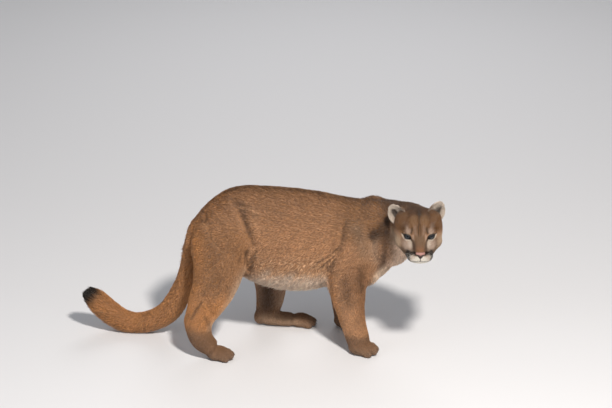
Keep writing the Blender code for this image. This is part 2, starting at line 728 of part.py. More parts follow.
def finish_head(head, group, cutters):
    """Sockets, lids, mouth, nostrils and the nose pad of the head, with its ears and eyes."""
    surface = BVHTree.FromObject(head, bpy.context.evaluated_depsgraph_get())
    cut(head, groove(cutters, MOUTH, Vector((0, 0, 1)), surface, MOUTH_RADIUS), "DIFFERENCE")
    cut(head, groove(cutters, PHILTRUM, Vector((0, 1, 0)), surface, PHILTRUM_RADIUS), "DIFFERENCE")
    pieces = []
    for side, word in ((1, "left"), (-1, "right")):
        cut(head, fissure(cutters, side), "DIFFERENCE")
        room = (EYE_RADIUS + GAP,) * 3
        socket = ellipsoid(cutters, eye_centre(side), room, frame=HEAD, segments=EYE_SEGMENTS)
        cut(head, socket, "DIFFERENCE")
        nostril = (NOSTRIL[0], NOSTRIL[1] * side, NOSTRIL[2])
        hole = ellipsoid(cutters, nostril, NOSTRIL_RADII, (0, 0, NOSTRIL_TURN * side), HEAD, NOSTRIL_SEGMENTS)
        cut(head, hole, "DIFFERENCE")
        eye = ellipsoid(group, eye_centre(side), (EYE_RADIUS,) * 3, frame=HEAD, segments=EYE_SEGMENTS)
        eye.name = eye.data.name = "eye_" + word
        ear = ear_shell(group, side, "ear_" + word)
        cut(ear, swollen(head, GAP, cutters), "DIFFERENCE")
        pieces += [eye, ear]
    nose = part_off(head, "nose", *NOSE_REGION, (0, 0, 0), HEAD, group, cutters)
    return pieces + [nose]


def recentred(nodes):
    """Move the nodes so that the middle of their box's floor is the origin."""
    points = np.vstack([points_of(node.data) for node in nodes])
    low, high = points.min(axis=0), points.max(axis=0)
    shift = Vector((-(low[0] + high[0]) / 2, -(low[1] + high[1]) / 2, 0.0))
    for node in nodes:
        node.data.transform(Matrix.Translation(shift))
    return shift


def main():
    clear_scene()
    cougar = new_collection("cougar")
    cutters = new_collection("cutters")
    whole = fused(body_forms(cougar), cougar)

    head_stock = thinned(cropped(whole, HEAD_CROP, "head_stock", cougar), HEAD_TRIANGLES)
    paw_stock = thinned(cropped(whole, PAW_CROP, "paw_stock", cougar), PAW_TRIANGLES)
    body = thinned(whole, BODY_TRIANGLES)

    nodes = []
    low, high = HEAD_REGION
    head = copy_of(head_stock, "head", cougar)
    cut(head, block(cutters, low, high, frame=HEAD), "INTERSECT")
    cut(body, block(cutters, low, high, frame=HEAD, grow=GAP), "DIFFERENCE")
    nodes += finish_head(head, cougar, cutters) + [head]
    for name, (low, high) in PAW_REGIONS.items():
        paw = copy_of(paw_stock, name, cougar)
        cut(paw, block(cutters, low, high), "INTERSECT")
        cut(body, block(cutters, low, high, grow=GAP), "DIFFERENCE")
        nodes.append(paw)
    for name, low, high, turn in BODY_REGIONS:
        nodes.append(part_off(body, name, low, high, turn, Matrix(), cougar, cutters))
    body.name = body.data.name = "torso"
    nodes.append(body)
    bpy.data.objects.remove(head_stock)
    bpy.data.objects.remove(paw_stock)

    for node in nodes:
        node.data.materials.clear()
        node.data.materials.append(finish_of(node.name))
    return nodes, recentred(nodes)


NODES, SHIFT = main()
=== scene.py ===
"""The looks of a life-size standing cougar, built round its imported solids.

Metres, +Z up. The animal faces +X, its left side is +Y, and its head is turned to its right.
One skin replaces the nodes of flesh and lies inside them by the coat's depth. Over it grow
tufts of solid mesh that follow the lie of the coat. Eyes, lids, nose pad, claws and whiskers
are pieces of their own.
"""

import heapq
import json
import math

import bmesh
import bpy
import numpy as np
from mathutils import Matrix, Vector
from mathutils.bvhtree import BVHTree

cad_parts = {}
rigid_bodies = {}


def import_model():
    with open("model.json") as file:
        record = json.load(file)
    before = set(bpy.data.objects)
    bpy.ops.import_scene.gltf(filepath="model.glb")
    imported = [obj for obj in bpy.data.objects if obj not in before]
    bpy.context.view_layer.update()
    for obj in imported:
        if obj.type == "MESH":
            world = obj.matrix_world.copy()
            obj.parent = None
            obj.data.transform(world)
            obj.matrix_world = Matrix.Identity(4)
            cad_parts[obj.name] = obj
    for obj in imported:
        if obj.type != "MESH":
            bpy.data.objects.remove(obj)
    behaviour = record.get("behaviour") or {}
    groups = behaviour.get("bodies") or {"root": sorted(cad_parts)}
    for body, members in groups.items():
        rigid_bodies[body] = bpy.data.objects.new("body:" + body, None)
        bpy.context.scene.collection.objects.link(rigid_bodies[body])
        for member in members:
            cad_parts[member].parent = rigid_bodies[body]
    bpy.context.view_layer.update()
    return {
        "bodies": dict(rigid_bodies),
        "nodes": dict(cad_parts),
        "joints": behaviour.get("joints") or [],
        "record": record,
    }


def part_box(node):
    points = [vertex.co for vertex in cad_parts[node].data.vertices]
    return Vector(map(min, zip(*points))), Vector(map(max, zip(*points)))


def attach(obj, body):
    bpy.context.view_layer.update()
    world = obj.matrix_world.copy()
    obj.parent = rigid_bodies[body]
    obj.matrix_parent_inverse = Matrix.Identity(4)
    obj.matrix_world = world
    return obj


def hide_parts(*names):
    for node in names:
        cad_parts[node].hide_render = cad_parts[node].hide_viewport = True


SEED = 7

# The head's own axes are forward, left and up, with the eyes' middle at this place in them
EYES_MIDDLE = Vector((-0.0125, 0.0, 0.004))
HEAD_PITCH = math.radians(-3.0)
HEAD_ROLL = math.radians(-0.5)
EYE_OUTWARD = math.radians(16.0)
EYE_UPWARD = math.radians(4.0)
EYE_SLANT = math.radians(20.0)

# Eyes and lids
EYE_RADIUS = 0.0155
EYE_SPACING = 0.090
LID_LENGTH = 0.034
LID_ABOVE = 0.0088
LID_BELOW = 0.0074
LID_CURVE = 1.0
LID_THICKNESS = 0.0012
LID_FADE = 0.010
SOCKET_DEPTH = 0.0030

# Lines of the face in the head's axes, for one side where they are mirrored
MOUTH = [
    (0.004, 0.057, -0.0700),
    (0.020, 0.055, -0.0765),
    (0.038, 0.049, -0.0800),
    (0.055, 0.032, -0.0790),
    (0.064, 0.012, -0.0750),
    (0.067, 0.000, -0.0730),
]
FACE_GROOVES = [
    (MOUTH, 0.0022, 0.0024),
    ([(0.070, 0.0, -0.060), (0.072, 0.0, -0.066), (0.069, 0.0, -0.073)], 0.0014, 0.0008),
    ([(0.008, 0.030, -0.012), (0.022, 0.030, -0.030), (0.030, 0.030, -0.042)], 0.0060, 0.0016),
    ([(0.002, 0.022, 0.012), (0.010, 0.026, -0.004)], 0.0060, 0.0016),
]
# Folds and creases of the body in the row frame: route, half width, depth
FLANK_HOLLOW = [(-0.105, -0.005, 0.632), (-0.081, -0.025, 0.594), (-0.062, -0.040, 0.558), (-0.045, -0.052, 0.515),
                (-0.030, -0.058, 0.473)]
HIP_FOLDS = [
    [(-0.089, -0.007, 0.630), (-0.061, -0.018, 0.608), (-0.033, -0.031, 0.579)],
    [(-0.073, -0.008, 0.626), (-0.041, -0.021, 0.601), (-0.013, -0.038, 0.561)],
]
KNEE_FOLD = [(-0.061, -0.070, 0.440), (-0.054, -0.063, 0.398), (-0.046, -0.042, 0.355)]
HAMSTRING = [(-0.218, 0.010, 0.572), (-0.204, -0.047, 0.539), (-0.188, -0.072, 0.498), (-0.156, -0.089, 0.462)]
SCAPULA = [(0.333, -0.036, 0.534), (0.329, -0.057, 0.482), (0.321, -0.070, 0.432), (0.294, -0.074, 0.399)]
ELBOW_FOLDS = [
    [(0.272, -0.069, 0.399), (0.305, -0.072, 0.415), (0.329, -0.072, 0.424)],
    [(0.272, -0.072, 0.374), (0.310, -0.077, 0.391), (0.337, -0.078, 0.405)],
]
BEHIND_ELBOW = [(0.268, -0.069, 0.380), (0.270, -0.065, 0.330), (0.276, -0.070, 0.290)]
FORELEG_MUSCLE = [(0.422, -0.065, 0.373), (0.414, -0.072, 0.324), (0.406, -0.079, 0.275)]
SHOULDER_FRONT = [(0.437, -0.032, 0.515), (0.453, -0.052, 0.467), (0.461, -0.054, 0.412)]
SHOULDER_POINT = [(0.381, -0.060, 0.471), (0.365, -0.071, 0.428), (0.357, -0.082, 0.389)]
SHANK_TENDON = [(-0.221, -0.126, 0.278), (-0.209, -0.130, 0.241), (-0.190, -0.125, 0.195)]
PAIRED_FOLDS = [
    (FLANK_HOLLOW, 0.018, 0.0085), (KNEE_FOLD, 0.013, 0.0070), (SCAPULA, 0.015, 0.0050),
    (BEHIND_ELBOW, 0.012, 0.0060), (FORELEG_MUSCLE, 0.012, 0.0040), (SHOULDER_FRONT, 0.018, 0.0050),
    (SHOULDER_POINT, 0.014, 0.0032), (HAMSTRING, 0.011, 0.0065),
] + [(route, 0.0055, 0.0020) for route in HIP_FOLDS] + [(route, 0.0065, 0.0026) for route in ELBOW_FOLDS]
SINGLE_FOLDS = [(SHANK_TENDON, 0.012, 0.0035)]
# Where the throat runs into the chest: a fullness instead of a fold
CHEST_SWELL = [(0.495, -0.015, 0.365), (0.505, 0.030, 0.365), (0.500, 0.080, 0.370)]

# Paws by side: middle of the pad, heading in degrees, size; and the grooves between their toes
PAWS = {
    "forepaw_right": ((0.4024, -0.0646), -14, 1.05), "forepaw_left": ((0.3474, 0.1994), 6, 1.05),
    "hindpaw_right": ((-0.1726, -0.1166), -8, 0.96), "hindpaw_left": ((0.1604, 0.2084), -4, 0.94),
}
TOE_ROWS = [(0.030, 0.0355, 0.019), (0.046, 0.0125, 0.021), (0.046, -0.0125, 0.021), (0.030, -0.0355, 0.019)]
TOE_GAPS = [(0.0245, 0.066), (0.0, 0.074), (-0.0245, 0.066)]
TOE_GROOVE = (0.0036, 0.0036)

# Ears by side: middle of the base, tip, way the opening faces, depth of the cup
EARS = {
    1: ((-0.074, 0.060, 0.052), (-0.080, 0.088, 0.1245), (0.92, 0.30, 0.0), 0.031),
    -1: ((-0.074, -0.070, 0.046), (-0.088, -0.108, 0.1075), (0.90, -0.34, 0.0), 0.031),
}
EAR_HALF_WIDTH = 0.0335
EAR_WALL = 0.0026
EAR_ROWS = 22
EAR_COLUMNS = 18
EAR_LIFT = 0.0
EAR_BELLY = 0.22
EAR_WAIST = 0.10
EAR_TIP_POWER = 2.4
EAR_LEAST_CUP = 0.35

# Skin: sizes of its mesh and how far it lies under the coat's surface, by region
SEAM_OVERLAP = 0.0004
SKIN_VOXEL = 0.0030
BODY_FACES = 0.0084
SMOOTH_BODY = 26
SMOOTH_SHARE_HEAD = 0.16
SMOOTH_SHARE_PAW = 0.10

# Coat by region: depth, length and width of a tuft in millimetres, tufts on a square
# centimetre, and how steeply a tuft leaves the skin in degrees
COAT = {
    "head": (2.2, 6.5, 1.35, 21.0, 14),
    "ear": (0.8, 6.0, 0.9, 22.0, 14),
    "neck": (5.5, 19.0, 1.7, 8.8, 12),
    "torso": (5.0, 20.0, 1.85, 7.0, 11),
    "upper": (4.5, 16.5, 1.8, 8.0, 12),
    "lower": (3.2, 11.5, 1.8, 10.5, 12),
    "paw": (2.2, 7.0, 1.6, 13.5, 13),
    "tail": (6.0, 22.0, 2.0, 7.2, 13),
    "nose": (1.6, 3.5, 0.8, 24.0, 12),
}
REGION_OF = {
    "head": "head", "ear_left": "ear", "ear_right": "ear", "neck": "neck", "torso": "torso",
    "nose": "nose", "eye_left": "head", "eye_right": "head",
    "foreleg_left_upper": "upper", "foreleg_right_upper": "upper",
    "hindleg_left_thigh": "upper", "hindleg_right_thigh": "upper",
    "foreleg_left_lower": "lower", "foreleg_right_lower": "lower",
    "hindleg_left_shank": "lower", "hindleg_right_shank": "lower",
    "forepaw_left": "paw", "forepaw_right": "paw", "hindpaw_left": "paw", "hindpaw_right": "paw",
    "tail_base": "tail", "tail_mid": "tail", "tail_tip": "tail",
}
FLESH = [name for name in REGION_OF if not name.startswith("eye")]
SOFT_REGIONS = {
    "head": 14, "ear": 3, "neck": 22, "torso": 22, "upper": 22, "lower": 16, "paw": 10, "tail": 12, "nose": 4,
}
PIECE_OF = {
    "head": "head", "ear_left": "ears", "ear_right": "ears", "neck": "neck", "torso": "torso", "nose": "face",
    "foreleg_left_upper": "foreleg_left", "foreleg_right_upper": "foreleg_right",
    "hindleg_left_thigh": "hindleg_left", "hindleg_right_thigh": "hindleg_right",
    "foreleg_left_lower": "foreleg_left", "foreleg_right_lower": "foreleg_right",
    "hindleg_left_shank": "hindleg_left", "hindleg_right_shank": "hindleg_right",
    "forepaw_left": "forepaws", "forepaw_right": "forepaws", "hindpaw_left": "hindpaws", "hindpaw_right": "hindpaws",
    "tail_base": "tail", "tail_mid": "tail", "tail_tip": "tail",
}
FACE_FROM = -0.045
TUFTS = 147000
ROOT_SUNK = 0.0008
LEAST_HEIGHT = 0.0006
PATCH_SIZE = 0.003
SKIN_SHADE = 1.0
UNDERCOAT_GRAIN = 450.0
STREAK_SCALE = 85.0
STREAK_STEP = 0.006
CLUMP_SCALE = 70.0
TONE_SPREAD = 0.13
STREAK_TONE = 0.16

# Lines down the back and the tail in the row frame
MIDLINE = 0.0594
SPINE = [(-0.26, 0.0594, 0), (0.43, 0.0594, 0), (0.50, 0.047, 0), (0.563, 0.013, 0), (0.604, -0.045, 0), (0.622, -0.11, 0)]
TAIL_LINE = [
    (-0.213, 0.0594, 0.545), (-0.277, 0.062, 0.440), (-0.304, 0.077, 0.272), (-0.336, 0.095, 0.178),
    (-0.381, 0.112, 0.104), (-0.439, 0.129, 0.060), (-0.499, 0.142, 0.040), (-0.563, 0.151, 0.045),
    (-0.623, 0.155, 0.083), (-0.675, 0.155, 0.136), (-0.730, 0.154, 0.190),
]
GAZE_OUTWARD = math.radians(8.0)
GAZE_UP = math.radians(12.0)
CORNEA_RISE = 0.0011
CORNEA_ANGLE = math.radians(42.0)
IRIS_STOPS = [
    (0.0, (0.003, 0.003, 0.004)), (1.0, (0.035, 0.028, 0.025)), (0.22, (0.003, 0.003, 0.004)),
    (0.245, (0.012, 0.014, 0.017)), (0.42, (0.026, 0.031, 0.037)), (0.54, (0.012, 0.014, 0.017)),
    (0.60, (0.004, 0.004, 0.005)), (0.80, (0.012, 0.010, 0.009)),
]
RIM_RADIUS = 0.0011
RIM_LIFT = 0.0012
WHISKERS_IN_ROW = 4
WHISKER_LENGTH = 0.085

NOSE_ROWS = 49
NOSE_COLUMNS = 61
NOSE_SMOOTH = 14
NOSE_THICK = 0.0022
NOSE_TUCK = 0.0016
NOSE_ROOM = 0.0080
NOSE_DIP = 0.0012
NOSTRIL = np.array((0.0, 0.0098, -0.0515))
NOSTRIL_TURN = np.array(Matrix.Rotation(math.radians(-32), 3, "X"))
NOSTRIL_RADII = np.array((1.0, 0.0054, 0.0031))
NOSTRIL_SLIT = [(0, 0.0125, -0.0495), (0, 0.0162, -0.0460)]
NOSE_WING = [(0, 0.0075, -0.0440), (0, 0.0125, -0.0430), (0, 0.0160, -0.0420)]
NOSE_PINK = (0.35, 0.178, 0.150)
NOSE_DARK = (0.030, 0.018, 0.016)
WHISKER_WHITE = (0.70, 0.68, 0.64)
CLAW_HORN = (0.10, 0.075, 0.060)
LID_SKIN = (0.010, 0.008, 0.008)
NOSE_TIP = (0.068, 0.0, -0.045)
NOSE_TOP = -0.0360
NOSE_BOTTOM = -0.0630
NOSE_HALF = 0.0192

# Colours of coat and skin, linear
TAWNY = (0.47, 0.245, 0.122)
BACK_BROWN = (0.33, 0.166, 0.080)
SHOULDER_BROWN = (0.225, 0.108, 0.044)
SPINE_BROWN = (0.100, 0.045, 0.019)
FLANK_LIGHT = (0.62, 0.345, 0.180)
PALE = (0.80, 0.62, 0.47)
RUSTY = (0.53, 0.225, 0.066)
LEG_BROWN = (0.25, 0.122, 0.058)
# Dark brown of streaks in the coat, also used for painted shade in folds, creases and between toes, and for the
# painted shadow on the neck
STRIPE_AND_SHADE_BROWN = (0.10, 0.052, 0.028)
# Painted shadow: the head's shadow on the neck and the shade over the far hind leg
PAINTED_SHADOW_BROWN = (0.055, 0.025, 0.011)
INNER_LEG = (0.44, 0.29, 0.20)
PAW_BROWN = (0.235, 0.128, 0.070)
FRINGE_LIGHT = (0.82, 0.55, 0.35)
THROAT_WARM = (0.90, 0.66, 0.50)
BELLY_PALE = (0.90, 0.74, 0.60)
PAW_PALE = (0.32, 0.215, 0.15)
NECK_FAWN = (0.40, 0.26, 0.17)
TAIL_TOP = (0.40, 0.185, 0.080)
BLACK_BROWN = (0.018, 0.010, 0.006)
FOREHEAD = (0.170, 0.080, 0.032)
FOREHEAD_DARK = (0.088, 0.036, 0.011)
LID_BLACK = (0.012, 0.009, 0.008)
FOLD_SHADE = 45.0
CROWN = (0.072, 0.027, 0.006)
FOREHEAD_GREY = (0.235, 0.125, 0.058)
CHEEK = (0.190, 0.114, 0.070)
RUFF = (0.55, 0.40, 0.28)
BRIDGE = (0.19, 0.112, 0.064)
BRIDGE_DARK = (0.11, 0.062, 0.038)
NOSE_RED = (0.25, 0.120, 0.062)
CREAM = (0.46, 0.345, 0.275)
WHITE = (0.80, 0.75, 0.67)
RING_WHITE = (0.66, 0.57, 0.48)
MARK_BROWN = (0.038, 0.020, 0.010)
PATCH_BROWN = (0.014, 0.009, 0.007)
LIP_FAWN = (0.50, 0.38, 0.30)
EAR_BACK = (0.15, 0.085, 0.050)
EAR_INNER = (0.62, 0.53, 0.45)
# Painted shade in the deep hollow of the ear
EAR_WELL_SHADE = (0.022, 0.014, 0.011)
EAR_GREY = (0.25, 0.20, 0.17)

SHOULDER_GREY = (0.31, 0.20, 0.125)
LEG_ORANGE = (0.54, 0.240, 0.080)
FOOT_TAN = (0.56, 0.37, 0.24)
THIGH_BROWN = (0.28, 0.136, 0.058)

# Marks of the body in the row frame: colour, share, half width, on both sides or the right only, route. Most dark
# strokes lie in folds and creases and are painted shade, the light strokes beside them are painted light on the
# ridges, and those on the neck are a painted shadow of the head; the rest are the coat's own patches.
BODY_MARKS_AND_SHADE = [
    # Painted shade in the folds of flank, hip, hamstring, knee, elbow and shoulder blade, with painted light on the
    # ridges beside them
    (STRIPE_AND_SHADE_BROWN, 0.50, 0.014, True, [(-0.069, -0.008, 0.626), (-0.057, -0.024, 0.594), (-0.045, -0.038, 0.557),
                                       (-0.033, -0.049, 0.514)]),
    (FLANK_LIGHT, 0.45, 0.012, True, [(-0.020, -0.025, 0.610), (-0.010, -0.040, 0.565), (-0.002, -0.050, 0.510)]),
    (STRIPE_AND_SHADE_BROWN, 0.45, 0.0040, True, [(-0.077, -0.009, 0.622), (-0.041, -0.013, 0.619), (-0.005, -0.020, 0.605)]),
    (STRIPE_AND_SHADE_BROWN, 0.45, 0.0040, True, [(-0.073, -0.018, 0.604), (-0.033, -0.023, 0.598), (0.003, -0.032, 0.580)]),
    (FLANK_LIGHT, 0.60, 0.0040, True, [(-0.077, -0.014, 0.612), (-0.037, -0.019, 0.609), (-0.001, -0.027, 0.592)]),
    (STRIPE_AND_SHADE_BROWN, 0.62, 0.0075, True, [(-0.222, 0.034, 0.579), (-0.217, -0.017, 0.556), (-0.204, -0.053, 0.524),
                                        (-0.184, -0.076, 0.486), (-0.156, -0.094, 0.446)]),
    (FLANK_LIGHT, 0.40, 0.010, True, [(-0.200, -0.030, 0.553), (-0.186, -0.060, 0.516), (-0.165, -0.080, 0.480)]),
    (STRIPE_AND_SHADE_BROWN, 0.75, 0.0070, True, [(-0.009, -0.060, 0.449), (-0.026, -0.059, 0.414), (-0.030, -0.049, 0.371)]),
    (STRIPE_AND_SHADE_BROWN, 0.70, 0.0060, True, [(-0.045, -0.062, 0.454), (-0.057, -0.064, 0.425), (-0.062, -0.065, 0.399)]),
    (STRIPE_AND_SHADE_BROWN, 0.60, 0.0045, True, [(-0.073, -0.075, 0.442), (-0.081, -0.083, 0.416)]),
    (FLANK_LIGHT, 0.60, 0.0045, True, [(-0.028, -0.063, 0.452), (-0.042, -0.064, 0.418), (-0.045, -0.062, 0.390)]),
    (STRIPE_AND_SHADE_BROWN, 0.75, 0.0036, True, [(0.234, -0.074, 0.403), (0.270, -0.074, 0.425), (0.297, -0.070, 0.449),
                                        (0.321, -0.061, 0.467)]),
    (STRIPE_AND_SHADE_BROWN, 0.75, 0.0036, True, [(0.246, -0.072, 0.385), (0.278, -0.072, 0.411), (0.305, -0.070, 0.436)]),
    (STRIPE_AND_SHADE_BROWN, 0.75, 0.0040, True, [(0.262, -0.069, 0.369), (0.290, -0.071, 0.397), (0.305, -0.069, 0.420)]),
    (FLANK_LIGHT, 0.75, 0.0036, True, [(0.238, -0.073, 0.394), (0.274, -0.073, 0.419), (0.303, -0.069, 0.445)]),
    (FLANK_LIGHT, 0.75, 0.0036, True, [(0.254, -0.070, 0.377), (0.286, -0.070, 0.405), (0.305, -0.070, 0.429)]),
    (STRIPE_AND_SHADE_BROWN, 0.65, 0.0080, True, [(0.294, -0.070, 0.401), (0.290, -0.076, 0.361)]),
    (STRIPE_AND_SHADE_BROWN, 0.45, 0.0110, True, [(0.353, -0.023, 0.555), (0.341, -0.041, 0.519), (0.329, -0.057, 0.478),
                                        (0.317, -0.065, 0.451)]),
    # The coat's own greyer, fawn and warm patches
    (SHOULDER_GREY, 0.60, 0.030, True, [(0.393, -0.033, 0.524), (0.413, -0.057, 0.478), (0.421, -0.064, 0.434)]),
    (NECK_FAWN, 0.75, 0.022, True, [(0.465, -0.044, 0.494), (0.457, -0.054, 0.447), (0.470, -0.050, 0.402)]),
    (THROAT_WARM, 0.95, 0.024, False, [(0.556, -0.063, 0.468), (0.556, -0.063, 0.440), (0.548, -0.054, 0.403),
                                       (0.528, -0.048, 0.385)]),
    # Painted shadow of the head on the right side of the neck, over a darker crease behind the jaw
    (PAINTED_SHADOW_BROWN, 0.80, 0.017, False, [(0.450, -0.037, 0.500), (0.481, -0.038, 0.531), (0.510, -0.045, 0.568)]),
    (PAINTED_SHADOW_BROWN, 0.80, 0.017, False, [(0.455, -0.037, 0.500), (0.485, -0.045, 0.510), (0.512, -0.059, 0.526)]),
    (PAINTED_SHADOW_BROWN, 0.85, 0.020, False, [(0.512, -0.050, 0.560), (0.510, -0.057, 0.520), (0.505, -0.052, 0.485)]),
    (STRIPE_AND_SHADE_BROWN, 0.90, 0.019, False, [(0.505, -0.052, 0.490), (0.501, -0.053, 0.446), (0.494, -0.047, 0.400),
                                        (0.486, -0.034, 0.360)]),
    # The coat's own colour of chest, legs and thigh
    (PALE, 0.70, 0.020, False, [(0.499, -0.019, 0.362), (0.467, -0.032, 0.329)]),
    (LEG_ORANGE, 0.50, 0.016, False, [(0.282, -0.071, 0.341), (0.290, -0.078, 0.274), (0.318, -0.081, 0.161)]),
    (LEG_ORANGE, 0.60, 0.024, True, [(-0.258, 0.014, 0.522), (-0.257, -0.052, 0.480), (-0.240, -0.081, 0.432)]),
    (THIGH_BROWN, 0.60, 0.018, False, [(-0.180, -0.103, 0.415), (-0.160, -0.115, 0.364), (-0.185, -0.123, 0.320)]),
    # Painted shade along the tendon of the right shank and above the hock
    (STRIPE_AND_SHADE_BROWN, 0.70, 0.0060, False, [(-0.229, -0.128, 0.257), (-0.253, -0.129, 0.223), (-0.274, -0.130, 0.184)]),
    (STRIPE_AND_SHADE_BROWN, 0.55, 0.0080, False, [(-0.218, -0.133, 0.189), (-0.206, -0.127, 0.160), (-0.195, -0.125, 0.130)]),
    # Painted shade in the gap between tail and thighs and in the crease beside the tail's root
    (STRIPE_AND_SHADE_BROWN, 0.85, 0.012, False, [(-0.272, 0.030, 0.360), (-0.262, 0.040, 0.300), (-0.268, 0.050, 0.228)]),
    (STRIPE_AND_SHADE_BROWN, 0.55, 0.0050, False, [(-0.300, 0.052, 0.490), (-0.297, 0.047, 0.455), (-0.293, 0.041, 0.407)]),
    (LEG_BROWN, 0.65, 0.040, False, [(0.375, -0.090, 0.370), (0.380, -0.090, 0.300)]),
    # Painted shade along the crease of the right foreleg's muscle
    (STRIPE_AND_SHADE_BROWN, 0.60, 0.018, False, [(0.405, -0.075, 0.377), (0.402, -0.080, 0.336), (0.406, -0.076, 0.291)]),
    (STRIPE_AND_SHADE_BROWN, 0.50, 0.018, False, [(0.342, -0.093, 0.333), (0.346, -0.097, 0.282), (0.358, -0.099, 0.231)]),
    # Painted shade over the far legs: a crease on the far foreleg, and shade over the far hind leg on the darker
    # brown of its inner side
    (STRIPE_AND_SHADE_BROWN, 0.60, 0.018, False, [(0.345, 0.175, 0.377), (0.342, 0.170, 0.336), (0.340, 0.165, 0.291)]),
    (PAINTED_SHADOW_BROWN, 0.92, 0.046, False, [(0.026, 0.150, 0.230), (0.026, 0.173, 0.164), (0.026, 0.181, 0.105)]),
    (FOOT_TAN, 0.75, 0.024, False, [(0.013, 0.186, 0.037), (0.075, 0.179, 0.032), (0.130, 0.169, 0.030)]),
]
# How far the middle of the head lies behind its origin
HEAD_MIDDLE = (0.04, 0.0, 0.0)
# Wavy locks over parts of the coat: how far apart they are
LOCKS_APART = 0.0125


def smoothstep(value, low, high):
    """0 below low, 1 above high, and a soft rise between; low may be the greater of the two."""
    t = np.clip((value - low) / (high - low), 0.0, 1.0)
    return t * t * (3 - 2 * t)


def unit(rows):
    return rows / np.maximum(np.linalg.norm(rows, axis=-1, keepdims=True), 1e-12)


def middle_of(node):
    low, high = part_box(node)
    return (low + high) / 2


def head_matrix():
    """The head's axes in the row frame, found from where the two eyes are."""
    left_eye, right_eye = middle_of("eye_left"), middle_of("eye_right")
    left = (left_eye - right_eye).normalized()
    forward = Vector((left.y, -left.x, 0.0)).normalized()
    level = Matrix((forward, Vector((left.x, left.y, 0.0)).normalized(), Vector((0, 0, 1))))
    turn = level.transposed().to_4x4()
    turn = turn @ Matrix.Rotation(HEAD_PITCH, 4, "Y") @ Matrix.Rotation(HEAD_ROLL, 4, "X")
    origin = (left_eye + right_eye) / 2 - turn.to_3x3() @ EYES_MIDDLE
    return Matrix.Translation(origin) @ turn


def object_of(mesh, name):
    made = bpy.data.objects.new(name, mesh)
    bpy.context.scene.collection.objects.link(made)
    return made


def applied(thing):
    """The object's mesh with its modifiers applied."""
    bpy.context.view_layer.update()
    graph = bpy.context.evaluated_depsgraph_get()
    mesh = bpy.data.meshes.new_from_object(thing.evaluated_get(graph))
    thing.modifiers.clear()
    thing.data = mesh
    return thing


def read_points(mesh):
    flat = np.zeros(len(mesh.vertices) * 3, np.float32)
    mesh.vertices.foreach_get("co", flat)
    return flat.reshape(-1, 3).astype(float)


def write_points(mesh, points):
    mesh.vertices.foreach_set("co", points.astype(np.float32).ravel())
    mesh.update()


def read_normals(mesh):
    flat = np.zeros(len(mesh.vertices) * 3, np.float32)
    mesh.vertex_normals.foreach_get("vector", flat)
    return flat.reshape(-1, 3).astype(float)


def edges_of(mesh):
    flat = np.zeros(len(mesh.edges) * 2, np.int32)
    mesh.edges.foreach_get("vertices", flat)
    return flat.reshape(-1, 2)


def triangles_of(mesh):
    mesh.calc_loop_triangles()
    flat = np.zeros(len(mesh.loop_triangles) * 3, np.int32)
    mesh.loop_triangles.foreach_get("vertices", flat)
    return flat.reshape(-1, 3)


class Spread:
    """Averages of a value over each point's neighbours on a mesh."""

    def __init__(self, edges, count):
        self.first, self.second = edges[:, 0], edges[:, 1]
        self.count = count
        links = np.bincount(self.first, minlength=count) + np.bincount(self.second, minlength=count)
        self.links = np.maximum(links, 1)

    def once(self, values):
        if values.ndim == 1:
            total = np.bincount(self.first, values[self.second], self.count)
            total += np.bincount(self.second, values[self.first], self.count)
            return total / self.links
        return np.stack([self.once(values[:, k]) for k in range(values.shape[1])], axis=1)

    def soften(self, values, steps, share=0.5):
        for _ in range(steps):
            values = values + (self.once(values) - values) * share
        return values


class Noise:
    """Smooth random numbers from -1 to 1 that vary over space."""

    def __init__(self, seed):
        self.size = 32
        self.table = np.random.default_rng(seed).uniform(-1, 1, (self.size,) * 3)

    def at(self, points, scale):
        """One number a point; scale is how many swings there are in a metre."""
        grid = points * scale
        base = np.floor(grid).astype(int)
        part = grid - base
        part = part * part * (3 - 2 * part)
        total = np.zeros(len(points))
        for corner in range(8):
            step = np.array([corner & 1, corner >> 1 & 1, corner >> 2 & 1])
            cell = (base + step) % self.size
            weight = np.prod(np.where(step == 1, part, 1 - part), axis=1)
            total += weight * self.table[cell[:, 0], cell[:, 1], cell[:, 2]]
        return total


def to_route(points, route):
    """Distance from each point to a route of straight stretches, and how far along it is, 0 to 1."""
    route = np.array(route, float)
    best = np.full(len(points), np.inf)
    along = np.zeros(len(points))
    for k, (start, end) in enumerate(zip(route, route[1:])):
        reach = end - start
        if not reach.any():
            continue
        t = np.clip((points - start) @ reach / (reach @ reach), 0, 1)
        away = np.linalg.norm(points - start - t[:, None] * reach, axis=1)
        closer = away < best
        best[closer] = away[closer]
        along[closer] = (k + t[closer]) / (len(route) - 1)
    return best, along


def merged_copy(node, push):
    """The node's solid with its doubled points merged, pushed out along its normals."""
    bm = bmesh.new()
    bm.from_mesh(node.data)
    bmesh.ops.remove_doubles(bm, verts=bm.verts, dist=0.00001)
    bm.normal_update()
    for vert in bm.verts:
        vert.co += vert.normal * push
    mesh = bpy.data.meshes.new("copy")
    bm.to_mesh(mesh)
    bm.free()
    return mesh


def node_finder(frame, left_out):
    """A search tree over the nodes' triangles, and the name of the node of each triangle."""
    verts, faces, owners = [], [], []
    for name, node in frame["nodes"].items():
        if name.startswith(left_out):
            continue
        base = len(verts)
        verts += [v.co.copy() for v in node.data.vertices]
        faces += [[base + i for i in face.vertices] for face in node.data.polygons]
        owners += [name] * len(node.data.polygons)
    return BVHTree.FromPolygons(verts, faces), owners


def nearest_nodes(points, finder):
    tree, owners = finder
    return [owners[tree.find_nearest(Vector(p))[2]] for p in points]


def add_weights(thing, name, weights, levels=20):
    group = thing.vertex_groups.new(name=name)
    steps = np.round(weights * levels).astype(int)
    for level in range(1, levels + 1):
        picked = np.nonzero(steps == level)[0]
        if len(picked):
            group.add(picked.tolist(), level / levels, "REPLACE")
    return group


